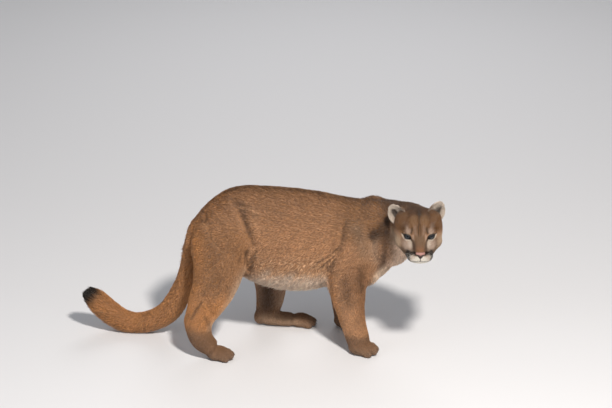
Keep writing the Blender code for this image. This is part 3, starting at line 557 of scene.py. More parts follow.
def voxel_copy(thing, name, size):
    """The thing's surface made anew in squares of one size."""
    copy = object_of(thing.data.copy(), name)
    grid = copy.modifiers.new("grid", "REMESH")
    grid.mode = "VOXEL"
    grid.voxel_size = size
    return applied(copy)


def flesh(frame, head):
    """All nodes of flesh but the ears fused into one closed surface, smooth and without facets."""
    bm = bmesh.new()
    for name, node in frame["nodes"].items():
        if not name.startswith("ear"):
            bm.from_mesh(merged_copy(node, SEAM_OVERLAP))
    mesh = bpy.data.meshes.new("flesh")
    bm.to_mesh(mesh)
    bm.free()
    loose = object_of(mesh, "flesh")
    fused = voxel_copy(loose, "flesh", SKIN_VOXEL)
    bpy.data.objects.remove(loose)

    points = read_points(fused.data)
    spread = Spread(edges_of(fused.data), len(points))
    local = to_local(points, head)
    near_face = 1 - smoothstep(np.linalg.norm(local - (-0.03, 0, -0.01), axis=1), 0.12, 0.16)
    near_paw = 1 - smoothstep(points[:, 2], 0.05, 0.12)
    near_paw[points[:, 0] < -0.33] = 0
    strength = 1 - (1 - SMOOTH_SHARE_HEAD) * near_face
    strength = np.minimum(strength, 1 - (1 - SMOOTH_SHARE_PAW) * near_paw)
    for _ in range(SMOOTH_BODY):
        points += (spread.once(points) - points) * (0.7 * strength)[:, None]
    write_points(fused.data, points)
    return fused


def near_route(local, route, reach):
    away, _ = to_route(local, route)
    return away < reach


def base_skin(frame, head):
    """The flesh as one mesh with finer and finer faces toward paws, head, face, eyes and lips."""
    fused = flesh(frame, head)
    skin = voxel_copy(fused, "skin", BODY_FACES)
    points = read_points(skin.data)
    local = to_local(points, head)
    paws = (points[:, 2] < 0.10) & (points[:, 0] > -0.33)
    refine(skin, (np.linalg.norm(local - (-0.04, 0, 0), axis=1) < 0.15) | paws)
    points = read_points(skin.data)
    local = to_local(points, head)
    toes = (points[:, 2] < 0.050) & (points[:, 0] > -0.33)
    face = (local[:, 0] > -0.062) & (np.linalg.norm(local - (-0.01, 0, -0.01), axis=1) < 0.106)
    refine(skin, face | (toes & near_toes(points)))
    local = to_local(read_points(skin.data), head)
    fine = near_route(local, MOUTH + [(f, -l, u) for f, l, u in MOUTH[::-1]], 0.008)
    for side in (1, -1):
        fine |= np.linalg.norm(local - (eye_spot(side) + (0.012, 0, 0)), axis=1) < 0.026
    refine(skin, fine)

    tree = BVHTree.FromObject(fused, bpy.context.evaluated_depsgraph_get())
    points = read_points(skin.data)
    write_points(skin.data, np.array([tree.find_nearest(Vector(p))[0] for p in points]))
    bpy.data.objects.remove(fused)
    return skin


def near_toes(points):
    """Which points are round the toes of a paw."""
    near = np.zeros(len(points), bool)
    for middle, heading, size in PAWS.values():
        front = np.array(paw_places(middle, heading, size, [(0.045, 0, 0)])[0])
        near |= np.linalg.norm(points[:, :2] - front[:2], axis=1) < 0.050
    return near


def to_local(points, head):
    """Points of the row frame in the head's axes."""
    back = head.inverted()
    return points @ np.array(back.to_3x3()).T + np.array(back.translation)


def to_row(local, head):
    return local @ np.array(head.to_3x3()).T + np.array(head.translation)


def refine(skin, picked):
    """Halve the edges of the skin's faces whose points are all picked."""
    bm = bmesh.new()
    bm.from_mesh(skin.data)
    bm.verts.ensure_lookup_table()
    edges = [e for e in bm.edges if picked[e.verts[0].index] and picked[e.verts[1].index]]
    bmesh.ops.subdivide_edges(bm, edges=edges, cuts=1, use_grid_fill=True)
    bmesh.ops.triangulate(bm, faces=bm.faces)
    bm.to_mesh(skin.data)
    bm.free()


def eye_turn(side):
    """From an eye's own axes, gaze, across and up along the lids, to the head's axes."""
    turn = Matrix.Rotation(EYE_OUTWARD * side, 3, "Z") @ Matrix.Rotation(-EYE_UPWARD, 3, "Y")
    return np.array(turn @ Matrix.Rotation(EYE_SLANT * side, 3, "X"))


def eye_spot(side):
    return np.array((EYES_MIDDLE.x, side * EYE_SPACING / 2, EYES_MIDDLE.z))


def lid_route(steps=40):
    """The edge of the opening between the lids, across and up, as a closed route."""
    across = np.cos(np.arange(steps + 1) * 2 * math.pi / steps)
    upper = np.arange(steps + 1) <= steps / 2
    height = np.where(upper, LID_ABOVE, -LID_BELOW) * (1 - across**2) ** LID_CURVE
    return np.stack([across * LID_LENGTH / 2, height], axis=1)


def lid_distance(local, side):
    """How far each point is outside the lids' opening, negative inside, with its place at the eye."""
    place = (local - eye_spot(side)) @ eye_turn(side)
    route = lid_route()
    away, _ = to_route(place[:, 1:], route)
    share = np.clip(1 - (2 * place[:, 1] / LID_LENGTH) ** 2, 0, 1) ** LID_CURVE
    inside = (place[:, 2] < LID_ABOVE * share) & (place[:, 2] > -LID_BELOW * share)
    return np.where(inside, -away, away), place


def open_lids(local):
    """Lids laid close over each eyeball, and the skin inside their opening sunk behind it."""
    for side in (1, -1):
        outside, place = lid_distance(local, side)
        reach = np.linalg.norm(place, axis=1)
        front = (place[:, 0] > 0) & (reach < EYE_RADIUS + 0.016)
        blend = smoothstep(outside, 0.0, LID_FADE)
        resting = (EYE_RADIUS + LID_THICKNESS) * (1 - blend) + reach * blend
        sunk = EYE_RADIUS + LID_THICKNESS - (LID_THICKNESS + SOCKET_DEPTH) * smoothstep(-outside, 0, 0.0010)
        wanted = np.where(outside < 0, sunk, resting)
        wanted = np.where(front, wanted, reach)
        place = place * (wanted / np.maximum(reach, 1e-9))[:, None]
        local = place @ eye_turn(side).T + eye_spot(side)
    return local


def groove(points, normals, route, width, depth):
    """Points pressed in along a route, deepest on it."""
    away, _ = to_route(points, route)
    return points - normals * (depth * np.exp(-((away / width) ** 2)))[:, None]


def both_sides(route):
    """A route of the head and its mirror image."""
    return [route, [(f, -l, u) for f, l, u in route]]


def sculpt_face(local, normals):
    """Folds, lips and hollows of the face, in the head's axes."""
    for route, width, depth in FACE_GROOVES:
        for line in both_sides(route):
            local = groove(local, normals, line, width, depth)
    return local


def mirrored(route):
    """A route of the body on its other side."""
    return [(x, 2 * MIDLINE - y, z) for x, y, z in route]


def body_folds():
    folds = list(SINGLE_FOLDS)
    for route, width, depth in PAIRED_FOLDS:
        folds += [(route, width, depth), (mirrored(route), width, depth)]
    return folds


def paw_places(middle, heading, size, offsets):
    """Offsets from a paw's middle, forward, left and up, as places in the row frame."""
    turn = math.radians(heading)
    places = []
    for forward, left, up in offsets:
        x = middle[0] + size * (forward * math.cos(turn) - left * math.sin(turn))
        y = middle[1] + size * (forward * math.sin(turn) + left * math.cos(turn))
        places.append((x, y, size * up))
    return places


def toe_grooves():
    """The grooves between the toes, over the front of each paw."""
    routes = []
    for middle, heading, size in PAWS.values():
        for left, reach in TOE_GAPS:
            low, front = (reach, left, 0.002), (reach, left, 0.018)
            top, back = (reach - 0.014, left * 0.95, 0.037), (reach - 0.044, left * 0.80, 0.046)
            routes.append(paw_places(middle, heading, size, [low, front, top, back]))
    return routes


def sculpt_body(points, normals):
    for route, width, depth in body_folds():
        points = groove(points, normals, route, width, depth)
    for route in toe_grooves():
        points = groove(points, normals, route, *TOE_GROOVE)
    return groove(points, normals, CHEST_SWELL, 0.028, -0.012)


def ear_leaf(head, side):
    """One ear as a cupped leaf with the thickness of its skin, in the row frame."""
    base, tip, facing, cup = EARS[side]
    base, tip = np.array(base), np.array(tip)
    rise = tip - base
    out = unit(np.array(facing))
    across = unit(np.cross(rise, out))
    out = unit(np.cross(across, rise))
    bm = bmesh.new()
    grid = []
    for i in range(EAR_ROWS + 1):
        up = EAR_LIFT + (1 - EAR_LIFT) * (1 - (1 - i / EAR_ROWS) ** 1.5)
        bulge = 1 + EAR_BELLY * math.sin(math.pi * up) - EAR_WAIST * (1 - up)
        half = EAR_HALF_WIDTH * max(1 - up**EAR_TIP_POWER, 0.0) ** 0.5 * bulge
        share = EAR_LEAST_CUP + (1 - EAR_LEAST_CUP) * min(1.0, half / EAR_HALF_WIDTH)
        depth = cup * max(1 - up, 0.0) ** 0.6 * share
        row = []
        for k in range(EAR_COLUMNS + 1):
            turn = math.sin((k / EAR_COLUMNS - 0.5) * math.pi)
            spot = base + rise * up + across * half * turn - out * depth * (1 - turn * turn)
            row.append(bm.verts.new(head @ Vector(spot)))
        grid.append(row)
    for low, high in zip(grid, grid[1:]):
        for k in range(EAR_COLUMNS):
            bm.faces.new((low[k], low[k + 1], high[k + 1], high[k]))
    bmesh.ops.remove_doubles(bm, verts=bm.verts, dist=0.00005)
    bmesh.ops.recalc_face_normals(bm, faces=bm.faces)
    mesh = bpy.data.meshes.new("ear")
    bm.to_mesh(mesh)
    bm.free()
    leaf = object_of(mesh, "ear")
    wall = leaf.modifiers.new("wall", "SOLIDIFY")
    wall.thickness = EAR_WALL
    wall.offset = 0.0
    round_off = leaf.modifiers.new("round", "SUBSURF")
    round_off.levels = round_off.render_levels = 1
    return applied(leaf)


def with_ears(skin, head):
    for side in (1, -1):
        leaf = ear_leaf(head, side)
        join = skin.modifiers.new("ear", "BOOLEAN")
        join.operation = "UNION"
        join.solver = "MANIFOLD"
        join.object = leaf
        applied(skin)
        bpy.data.objects.remove(leaf)
    return skin


def nose_half(down):
    """Half the width of the nose pad, by the share of its height from the top."""
    return NOSE_HALF * (1 - 0.84 * smoothstep(down, 0.24, 1.0)) * (0.86 + 0.14 * smoothstep(down, 0, 0.25))


def nose_surface(skin, points):
    """Forward reach of the skin where the nose pad lies, on a grid of across and down, smoothed."""
    faces = triangles_of(skin.data)
    near = (points[faces].mean(axis=1)[:, 0] > 0.03)
    tree = BVHTree.FromPolygons(points.tolist(), faces[near].tolist())
    down = np.linspace(0, 1, NOSE_ROWS)
    across = np.linspace(-1, 1, NOSE_COLUMNS)
    left = nose_half(down)[:, None] * across[None, :]
    up = np.broadcast_to((NOSE_TOP + (NOSE_BOTTOM - NOSE_TOP) * down)[:, None], left.shape)
    up = up + NOSE_DIP * np.exp(-((left / 0.006) ** 2)) * (1 - down[:, None]) ** 3
    forward = np.zeros(left.shape)
    for i in range(NOSE_ROWS):
        for j in range(NOSE_COLUMNS):
            hit = tree.ray_cast(Vector((0.15, left[i, j], up[i, j])), Vector((-1, 0, 0)))[0]
            forward[i, j] = hit[0] if hit else 0.05
    for _ in range(NOSE_SMOOTH):
        padded = np.pad(forward, 1, mode="edge")
        around = (padded[:-2, 1:-1] + padded[2:, 1:-1] + padded[1:-1, :-2] + padded[1:-1, 2:]) / 4
        forward = np.maximum(forward, around) * 0.5 + around * 0.5
    return forward, left, up, down, across


def sunk_under_pad(local):
    """The skin under the nose pad drawn back, to leave room for the nostrils."""
    f, l, u = local.T
    down = (NOSE_TOP - u) / (NOSE_TOP - NOSE_BOTTOM)
    room = np.minimum((nose_half(np.clip(down, 0, 1)) - np.abs(l)), 0.018 * np.minimum(down, 1 - down))
    share = smoothstep(room, 0.0002, 0.0018) * (f > 0.045)
    return local - np.stack([share * NOSE_ROOM, 0 * f, 0 * f], axis=1)


def make_skin(frame, head):
    """The one skin: fused, lowered by the coat's depth, with its face, folds and ears."""
    skin = base_skin(frame, head)
    tell("base", len(skin.data.vertices))
    points = read_points(skin.data)
    local = to_local(points, head)
    tell("refined", len(points), len(skin.data.polygons))

    spread = Spread(edges_of(skin.data), len(points))
    face_share = smoothstep(local[:, 0], -0.09, -0.05) * (1 - smoothstep(np.linalg.norm(local, axis=1), 0.11, 0.13))
    for _ in range(3):
        points += (spread.once(points) - points) * (0.5 * face_share)[:, None]
    write_points(skin.data, points)

    owners = nearest_nodes(points, node_finder(frame, ("eye", "ear")))
    depth = np.array([COAT[REGION_OF[name]][0] for name in owners]) / 1000
    depth *= np.where(face_share > 0.5, smoothstep(local[:, 0], 0.09, -0.03) * 0.45 + 0.55, 1.0)
    depth = spread.soften(depth, 24)
    normals = unit(spread.soften(read_normals(skin.data), 4))
    points -= normals * depth[:, None]
    points = sculpt_body(points, normals)
    turn = np.array(head.to_3x3())
    local = sculpt_face(to_local(points, head), normals @ turn)
    local = open_lids(local)
    pad_grid = nose_surface(skin, local)
    local = sunk_under_pad(local)
    points = to_row(local, head)
    points[:, 2] = np.maximum(points[:, 2], 0.0012)
    write_points(skin.data, points)
    with_ears(skin, head)
    skin.data.polygons.foreach_set("use_smooth", [True] * len(skin.data.polygons))
    return skin, pad_grid


class Ear:
    """Where points lie on one ear: the share of its height, and of its width from the middle."""

    def __init__(self, side):
        base, tip, facing, _ = EARS[side]
        self.base = np.array(base)
        self.rise = np.array(tip) - self.base
        out = unit(np.array(facing))
        self.across = unit(np.cross(self.rise, out))
        self.out = unit(np.cross(self.across, self.rise))

    def place(self, local):
        offset = local - self.base
        return offset @ self.rise / (self.rise @ self.rise), offset @ self.across / EAR_HALF_WIDTH


class Paint:
    """A colour a point, washed over by one colour after another."""

    def __init__(self, count, colour):
        self.colour = np.tile(np.array(colour, float), (count, 1))

    def wash(self, colour, share):
        share = np.clip(share, 0, 1)[:, None]
        self.colour += (np.array(colour) - self.colour) * share


def spot(points, middle, radii):
    """1 in the middle of a soft oval spot, 0 from its edge on."""
    away = np.linalg.norm((points - np.array(middle)) / np.array(radii), axis=1)
    return smoothstep(away, 1.0, 0.35)


def line(points, route, width):
    """1 on a route, falling off softly over its half width."""
    route = np.array(route, float)
    near = ((points > route.min(axis=0) - 3 * width) & (points < route.max(axis=0) + 3 * width)).all(axis=1)
    share = np.zeros(len(points))
    away, _ = to_route(points[near], route)
    share[near] = np.exp(-((away / width) ** 2))
    return share


def locks(points, way, swing):
    """Swings from -1 to 1 across wavy locks of the coat that lie side by side along a way."""
    return np.sin(2 * math.pi * (points @ np.array(way)) / LOCKS_APART + 3.5 * swing)


def body_colours(paint, points, normals, regions, streak):
    """The tawny coat of body, legs and tail, with painted shade in its folds and between its toes."""
    x, y, z = points.T
    side = y - MIDLINE
    torso = regions["torso"] + regions["neck"]
    spine_away, _ = to_route(points * (1, 1, 0), SPINE)
    upward = smoothstep(normals[:, 2], 0.1, 0.8)
    swing = Noise(SEED + 2).at(points, 30.0)
    upper_leg, lower_leg = regions["upper"], regions["lower"]
    legs = upper_leg + lower_leg
    paint.wash(BACK_BROWN, smoothstep(z, 0.46, 0.64) * (torso + 0.6 * upper_leg) * 0.9)
    paint.wash(SHOULDER_BROWN, smoothstep(x, 0.27, 0.38) * torso * smoothstep(z, 0.36, 0.50) * 0.8)
    paint.wash(SPINE_BROWN, np.exp(-((spine_away / 0.032) ** 2)) * upward * 0.95)
    low = smoothstep(z, 0.43, 0.31)
    paint.wash(FLANK_LIGHT, low * regions["torso"] * (0.46 + 0.35 * streak))
    drawn = locks(points, (1.0, 0.1, 0.30), swing)
    fringe = regions["torso"] * smoothstep(z, 0.46, 0.38)
    paint.wash(FRINGE_LIGHT, fringe * drawn * 0.60)
    paint.wash(THIGH_BROWN, fringe * -drawn * smoothstep(z, 0.29, 0.34) * 0.62)
    belly = smoothstep(z + 0.012 * streak + 0.010 * drawn, 0.368, 0.305) * regions["torso"]
    paint.wash(BELLY_PALE, belly * 0.9)
    wavy = locks(points, (0.30, 0.1, 1.0), swing)
    paint.wash(FLANK_LIGHT, (torso + legs) * wavy * 0.24)
    paint.wash(BACK_BROWN, (torso + legs) * -wavy * 0.30)
    rear = smoothstep(-normals[:, 0], 0.0, 0.75) * smoothstep(x, -0.06, -0.16)
    paint.wash(THIGH_BROWN, upper_leg * smoothstep(x, 0.05, -0.05) * smoothstep(z, 0.60, 0.50) * 0.65)
    paint.wash(LEG_ORANGE, rear * upper_leg * 0.70)
    paint.wash(RUSTY, rear * regions["torso"] * 0.4)
    paint.wash(RUSTY, lower_leg * smoothstep(x, 0.05, -0.05) * 0.55)

    # Painted shade: each fold, crease and gap between the toes darkened along its route, the more the deeper it is
    for route, width, depth in body_folds():
        paint.wash(STRIPE_AND_SHADE_BROWN, line(points, route, 0.7 * width) * depth * FOLD_SHADE)
    for route in toe_grooves():
        paint.wash(STRIPE_AND_SHADE_BROWN, line(points, route, TOE_GROOVE[0]) * 0.8)

    front = smoothstep(normals[:, 0], -0.05, 0.75)
    foreleg = smoothstep(x, 0.15, 0.22) * legs
    paint.wash(LEG_BROWN, foreleg * front * smoothstep(z, 0.08, 0.22) * 0.75)
    across = locks(points, (0.25, 0.0, 1.0), swing)
    paint.wash(STRIPE_AND_SHADE_BROWN, foreleg * smoothstep(z, 0.20, 0.27) * smoothstep(z, 0.42, 0.36) * across * 0.30)
    paint.wash(FLANK_LIGHT, foreleg * smoothstep(z, 0.20, 0.27) * smoothstep(z, 0.42, 0.36) * -across * 0.20)
    inward = np.where(side < 0, normals[:, 1], -normals[:, 1])
    paint.wash(INNER_LEG, legs * smoothstep(inward, 0.25, 0.9) * 0.7)
    hind_front = smoothstep(x, 0.12, 0.06) * smoothstep(normals[:, 0], 0.3, 0.9)
    paint.wash(PALE, legs * hind_front * smoothstep(z, 0.42, 0.30) * 0.45)
    paint.wash(PAW_BROWN, regions["paw"])
    paint.wash(PAW_PALE, regions["paw"] * smoothstep(z, 0.05, 0.015) * 0.4)

    away_from_head = smoothstep(z, 0.60, 0.46)
    chest = smoothstep(x, 0.36, 0.47) * smoothstep(normals[:, 0] - 0.6 * normals[:, 2], 0.15, 0.9)
    paint.wash(PALE, chest * torso * away_from_head * 0.75)
    throat = smoothstep(-normals[:, 2], 0.0, 0.7) * regions["neck"]
    paint.wash(PALE, throat * 0.8)
    near_side = smoothstep(-normals[:, 1], -0.2, 0.6) * regions["neck"] * smoothstep(z, 0.60, 0.50)
    paint.wash(NECK_FAWN, near_side * 0.5)
    nape = regions["neck"] * smoothstep(z, 0.52, 0.60) * upward
    paint.wash(SPINE_BROWN, nape * 0.80)

    _, along = to_route(points, TAIL_LINE)
    paint.wash(RUSTY, regions["tail"] * 0.55)
    paint.wash(TAIL_TOP, regions["tail"] * smoothstep(normals[:, 2], 0.1, 0.8) * smoothstep(along, 0.2, 0.5) * 0.2)
    paint.wash(PALE, regions["tail"] * smoothstep(-normals[:, 2], 0.3, 0.9) * 0.25)
    paint.wash(BLACK_BROWN, regions["tail"] * smoothstep(along + 0.012 * streak, 0.88, 0.94))


def body_marks_and_shade(paint, points, local):
    """The darker and lighter marks of neck, body and legs, behind the head: the coat's own patches, painted shade in
    folds and creases, painted light on the ridges beside them, and a painted shadow on the neck.
    """
    behind = smoothstep(np.linalg.norm(local + np.array(HEAD_MIDDLE), axis=1), 0.115, 0.140)
    for colour, share, width, paired, route in BODY_MARKS_AND_SHADE:
        for side_route in [route, mirrored(route)][: 1 + paired]:
            paint.wash(colour, behind * line(points, side_route, width) * share)


def face_colours(paint, local, normals, regions, streak):
    """The markings of the head, alike on both sides, in the head's axes."""
    f, _, u = local.T
    l = np.abs(local[:, 1])
    one_side = np.stack([f, l, u], axis=1)
    flat = one_side * (0, 1, 1)
    head = regions["head"] + regions["nose"]
    fore = smoothstep(f, -0.10, -0.06)
    front = smoothstep(f, -0.07, -0.04)
    paint.wash(FOREHEAD, head * smoothstep(u, -0.005, 0.03))
    paint.wash(CHEEK, head * smoothstep(u, 0.02, -0.015))
    paint.wash(CROWN, head * smoothstep(u, 0.045, 0.075) * smoothstep(l, 0.055, 0.035) * 0.85)
    paint.wash(RUFF, head * smoothstep(l, 0.060, 0.082) * smoothstep(u, 0.03, -0.02) * 0.75)
    paint.wash(PALE, head * smoothstep(u, -0.060, -0.085) * 0.85)
    above_mouth = smoothstep(u, -0.064, -0.054)
    paint.wash(BRIDGE, head * fore * smoothstep(l, 0.024, 0.012) * smoothstep(u, 0.028, 0.008) * above_mouth)
    paint.wash(NOSE_RED, head * smoothstep(l, 0.022, 0.009) * np.exp(-(((u + 0.027) / 0.012) ** 2)) * 0.8)
    paint.wash(BRIDGE_DARK, head * front * smoothstep(u, -0.032, -0.042) * smoothstep(f, 0.03, 0.05) * 0.75)

    paint.wash(CREAM, head * front * spot(flat, (0, 0.046, -0.026), (1, 0.025, 0.030)) * 0.9)
    paint.wash(RING_WHITE, head * front * spot(flat, (0, 0.035, -0.019), (1, 0.013, 0.020)) * 0.55)
    paint.wash(CREAM, head * front * spot(flat, (0, 0.044, 0.026), (1, 0.022, 0.014)) * 0.50)
    paint.wash(CREAM, head * front * line(flat, [(0, 0.040, 0.030), (0, 0.056, 0.050)], 0.008) * 0.25)
    for side in (1, -1):
        paint_eye(paint, local, side, head)
    paint.wash(CREAM, head * front * line(flat, [(0, 0.047, 0.022), (0, 0.049, 0.046)], 0.0060) * 0.55)
    paint.wash(CREAM, head * front * line(flat, [(0, 0.016, 0.020), (0, 0.018, 0.042)], 0.0065) * 0.35)
    paint.wash(CREAM, head * front * line(flat, [(0, 0.0250, 0.012), (0, 0.0238, -0.003)], 0.0032) * 0.75)
    twin = line(flat, [(0, 0.0044, 0.013), (0, 0.0040, 0.048)], 0.0020)
    paint.wash(MARK_BROWN, head * front * twin * np.where(local[:, 1] < 0, 0.85, 0.60))
    stripe = line(flat, [(0, 0.0, 0.050), (0, 0.0, 0.088)], 0.0030)
    paint.wash(MARK_BROWN, head * fore * stripe * 0.80)
    paint.wash(MARK_BROWN, head * spot(one_side, (-0.058, 0.0, 0.084), (0.030, 0.016, 0.022)) * 0.6)
    brow = line(flat, [(0, 0.0315, 0.0185), (0, 0.0285, 0.036)], 0.0036)
    paint.wash(MARK_BROWN, head * front * brow * 0.9)
    side_shade = line(flat, [(0, 0.052, 0.050), (0, 0.066, 0.030)], 0.010)
    paint.wash(FOREHEAD_DARK, head * fore * side_shade * 0.65)
    middle = spot(flat, (0, 0.020, 0.062), (1, 0.026, 0.026))
    paint.wash(FOREHEAD_GREY, head * fore * middle * 0.75)
    paint.wash(FOREHEAD_DARK, head * smoothstep(streak, 0.2, 0.9) * smoothstep(u, 0.0, 0.03) * 0.35)
    tear = line(flat, [(0, 0.0270, -0.006), (0, 0.0262, -0.014), (0, 0.0255, -0.030)], 0.0030)
    paint.wash(BRIDGE_DARK, head * front * tear * smoothstep(u, -0.036, -0.010) * 0.9)
    shade = line(flat, [(0, 0.0235, -0.018), (0, 0.0235, -0.036)], 0.0055)
    paint.wash(BRIDGE_DARK, head * front * shade * 0.75)

    muzzle = smoothstep(f, 0.010, 0.030) * smoothstep(u, -0.048, -0.057)
    paint.wash(WHITE, muzzle * head * smoothstep(l, 0.044, 0.034))
    paint.wash(WHITE, head * smoothstep(f, 0.0, 0.02) * smoothstep(u, -0.066, -0.074))
    thin_patch = line(flat, [(0, 0.0205, -0.0435), (0, 0.0300, -0.0425), (0, 0.0430, -0.0450)], 0.0036)
    thick_patch = line(flat, [(0, 0.0450, -0.0480), (0, 0.0490, -0.0570), (0, 0.0450, -0.0740)], 0.0060)
    inner_end = spot(flat, (0, 0.0225, -0.0420), (1, 0.0070, 0.0085))
    patch = np.maximum(np.maximum(thin_patch, thick_patch), inner_end) * smoothstep(f, -0.004, 0.022)
    warm = line(flat, [(0, 0.0280, -0.0520), (0, 0.0380, -0.0660)], 0.0085)
    paint.wash(LIP_FAWN, head * smoothstep(f, 0.010, 0.020) * warm * 0.85)
    paint.wash(PATCH_BROWN, head * np.clip(2.1 * patch * (1 + 0.15 * streak), 0, 1) * 0.93)
    philtrum = smoothstep(l, 0.0017, 0.0007) * smoothstep(u, -0.058, -0.062) * smoothstep(u, -0.0765, -0.074)
    paint.wash(BLACK_BROWN, head * philtrum * smoothstep(f, 0.055, 0.062))
    mouth = np.array(MOUTH[::-1])
    off_line = u - np.interp(l, mouth[:, 1], mouth[:, 2])
    lips = np.exp(-((off_line / 0.0013) ** 2)) * smoothstep(l, 0.050, 0.042) * smoothstep(normals[:, 2], -0.85, -0.60)
    paint.wash(BLACK_BROWN, head * lips * smoothstep(f, 0.012, 0.024) * 0.8)


def paint_eye(paint, local, side, head):
    """The black rims and corners of the lids, and the pale rings round them."""
    outside, place = lid_distance(local, side)
    here = head * (place[:, 0] > 0) * (np.linalg.norm(place, axis=1) < 0.045)
    outward, rise = side * place[:, 1], place[:, 2]
    under = smoothstep(rise, 0.003, -0.003)
    flat = np.stack([outward, rise], axis=1)
    ring = np.exp(-(((outside - 0.0048) / 0.0024) ** 2))
    paint.wash(RING_WHITE, here * ring * (0.20 + 0.70 * under) * smoothstep(outward, -0.022, -0.008))
    outer_white = line(flat, [(0.012, -0.0080), (0.021, -0.0030)], 0.0028)
    paint.wash(RING_WHITE, here * outer_white * 0.85)
    rim = 0.0018 + 0.0016 * smoothstep(rise, -0.001, 0.004)
    paint.wash(LID_BLACK, here * smoothstep(outside, rim + 0.0010, rim - 0.0008))
    corners = [([(0.0165, 0.0005), (0.0245, 0.0030)], 0.0019), ([(-0.0165, -0.0005), (-0.0225, -0.0048)], 0.0025)]
    for route, width in corners:
        paint.wash(LID_BLACK, here * np.clip(1.4 * line(flat, route, width), 0, 1))


def ear_colours(paint, local, normals, regions, streak):
    for side in (1, -1):
        ear = Ear(side)
        up, across = ear.place(local)
        here = regions["ear"] * (local[:, 1] * side > 0)
        inner = smoothstep(normals @ ear.out, -0.1, 0.35) * here
        paint.wash(EAR_BACK, here)
        paint.wash(EAR_INNER, inner)
        # Painted shade in the ear's hollow, broken by pale hairs across it
        well = spot(np.stack([across, up], axis=1), (0.22 * side, 0.40), (0.52, 0.50))
        open_well = 1 - 0.65 * smoothstep(streak, 0.15, 0.75)
        paint.wash(EAR_WELL_SHADE, inner * np.clip(1.6 * well, 0, 1) * 0.95 * open_well)
        core = spot(np.stack([across, up], axis=1), (0.30 * side, 0.36), (0.42, 0.40))
        paint.wash(EAR_WELL_SHADE, inner * np.clip(2.0 * core, 0, 1) * (0.4 + 0.6 * open_well))
        shade = smoothstep(side * across, -0.1, 0.5) * smoothstep(up, 0.95, 0.6)
        paint.wash(EAR_GREY, inner * shade * 0.35)
        rim = smoothstep(np.abs(across), 0.75, 0.95) + smoothstep(up, 0.86, 0.97)
        paint.wash(EAR_INNER, here * np.clip(rim, 0, 1) * 0.7)
        inner_edge = smoothstep(-side * across, 0.72, 0.95) * smoothstep(up, 0.10, 0.30)
        paint.wash(EAR_BACK, here * inner_edge * 0.8)


def coat_colours(points, local, normals, regions, streak, head):
    """One colour a point, for skin and coat alike."""
    paint = Paint(len(points), TAWNY)
    turned = normals @ np.array(head.to_3x3())
    body_colours(paint, points, normals, regions, streak)
    face_colours(paint, local, turned, regions, streak)
    ear_colours(paint, local, turned, regions, streak)
    body_marks_and_shade(paint, points, local)
    return paint.colour


def way_from(mesh, points, start):
    """Distance over the mesh from the point nearest to start."""
    edges = edges_of(mesh)
    lengths = np.linalg.norm(points[edges[:, 0]] - points[edges[:, 1]], axis=1)
    both = np.concatenate([edges, edges[:, ::-1]])
    order = np.argsort(both[:, 0], kind="stable")
    ends = both[order, 1].tolist()
    spans = np.concatenate([lengths, lengths])[order].tolist()
    first = np.searchsorted(both[order, 0], np.arange(len(points) + 1)).tolist()
    best = [math.inf] * len(points)
    begin = int(np.argmin(np.linalg.norm(points - start, axis=1)))
    best[begin] = 0.0
    queue = [(0.0, begin)]
    while queue:
        reach, at = heapq.heappop(queue)
        if reach > best[at]:
            continue
        for k in range(first[at], first[at + 1]):
            new = reach + spans[k]
            if new < best[ends[k]]:
                best[ends[k]] = new
                heapq.heappush(queue, (new, ends[k]))
    best = np.array(best)
    best[~np.isfinite(best)] = 0
    return best


def slope_of(values, points, triangles):
    """The way in which a value grows over the mesh, at each point."""
    corners = points[triangles]
    normal = np.cross(corners[:, 1] - corners[:, 0], corners[:, 2] - corners[:, 0])
    normal = unit(normal)
    slope = np.zeros((len(triangles), 3))
    for k in range(3):
        far_edge = corners[:, (k + 2) % 3] - corners[:, (k + 1) % 3]
        slope += np.cross(normal, far_edge) * values[triangles[:, k]][:, None]
    total = np.zeros((len(points), 3))
    for k in range(3):
        for axis in range(3):
            total[:, axis] += np.bincount(triangles[:, k], slope[:, axis], len(points))
    return total


def flat_on(vectors, normals):
    return unit(vectors - normals * np.sum(vectors * normals, axis=1, keepdims=True))


def lie_of(mesh, points, normals, spread, regions, head):
    """The way the coat lies at each point: back from the nose, and down on flank and belly."""
    nose = np.array(head @ Vector(NOSE_TIP))
    reach = spread.soften(way_from(mesh, points, nose), 8)
    lie = flat_on(slope_of(reach, points, triangles_of(mesh)), normals)
    down = np.array((-0.25, 0.0, -1.0))
    share = regions["torso"] * (0.25 + 1.2 * smoothstep(points[:, 2], 0.45, 0.28))
    share += regions["upper"] * 0.6 + regions["lower"] * 0.5 + regions["neck"] * 0.3
    lie = flat_on(lie + down * share[:, None], normals)
    for _ in range(4):
        lie = flat_on(spread.soften(lie, 4), normals)
    return lie


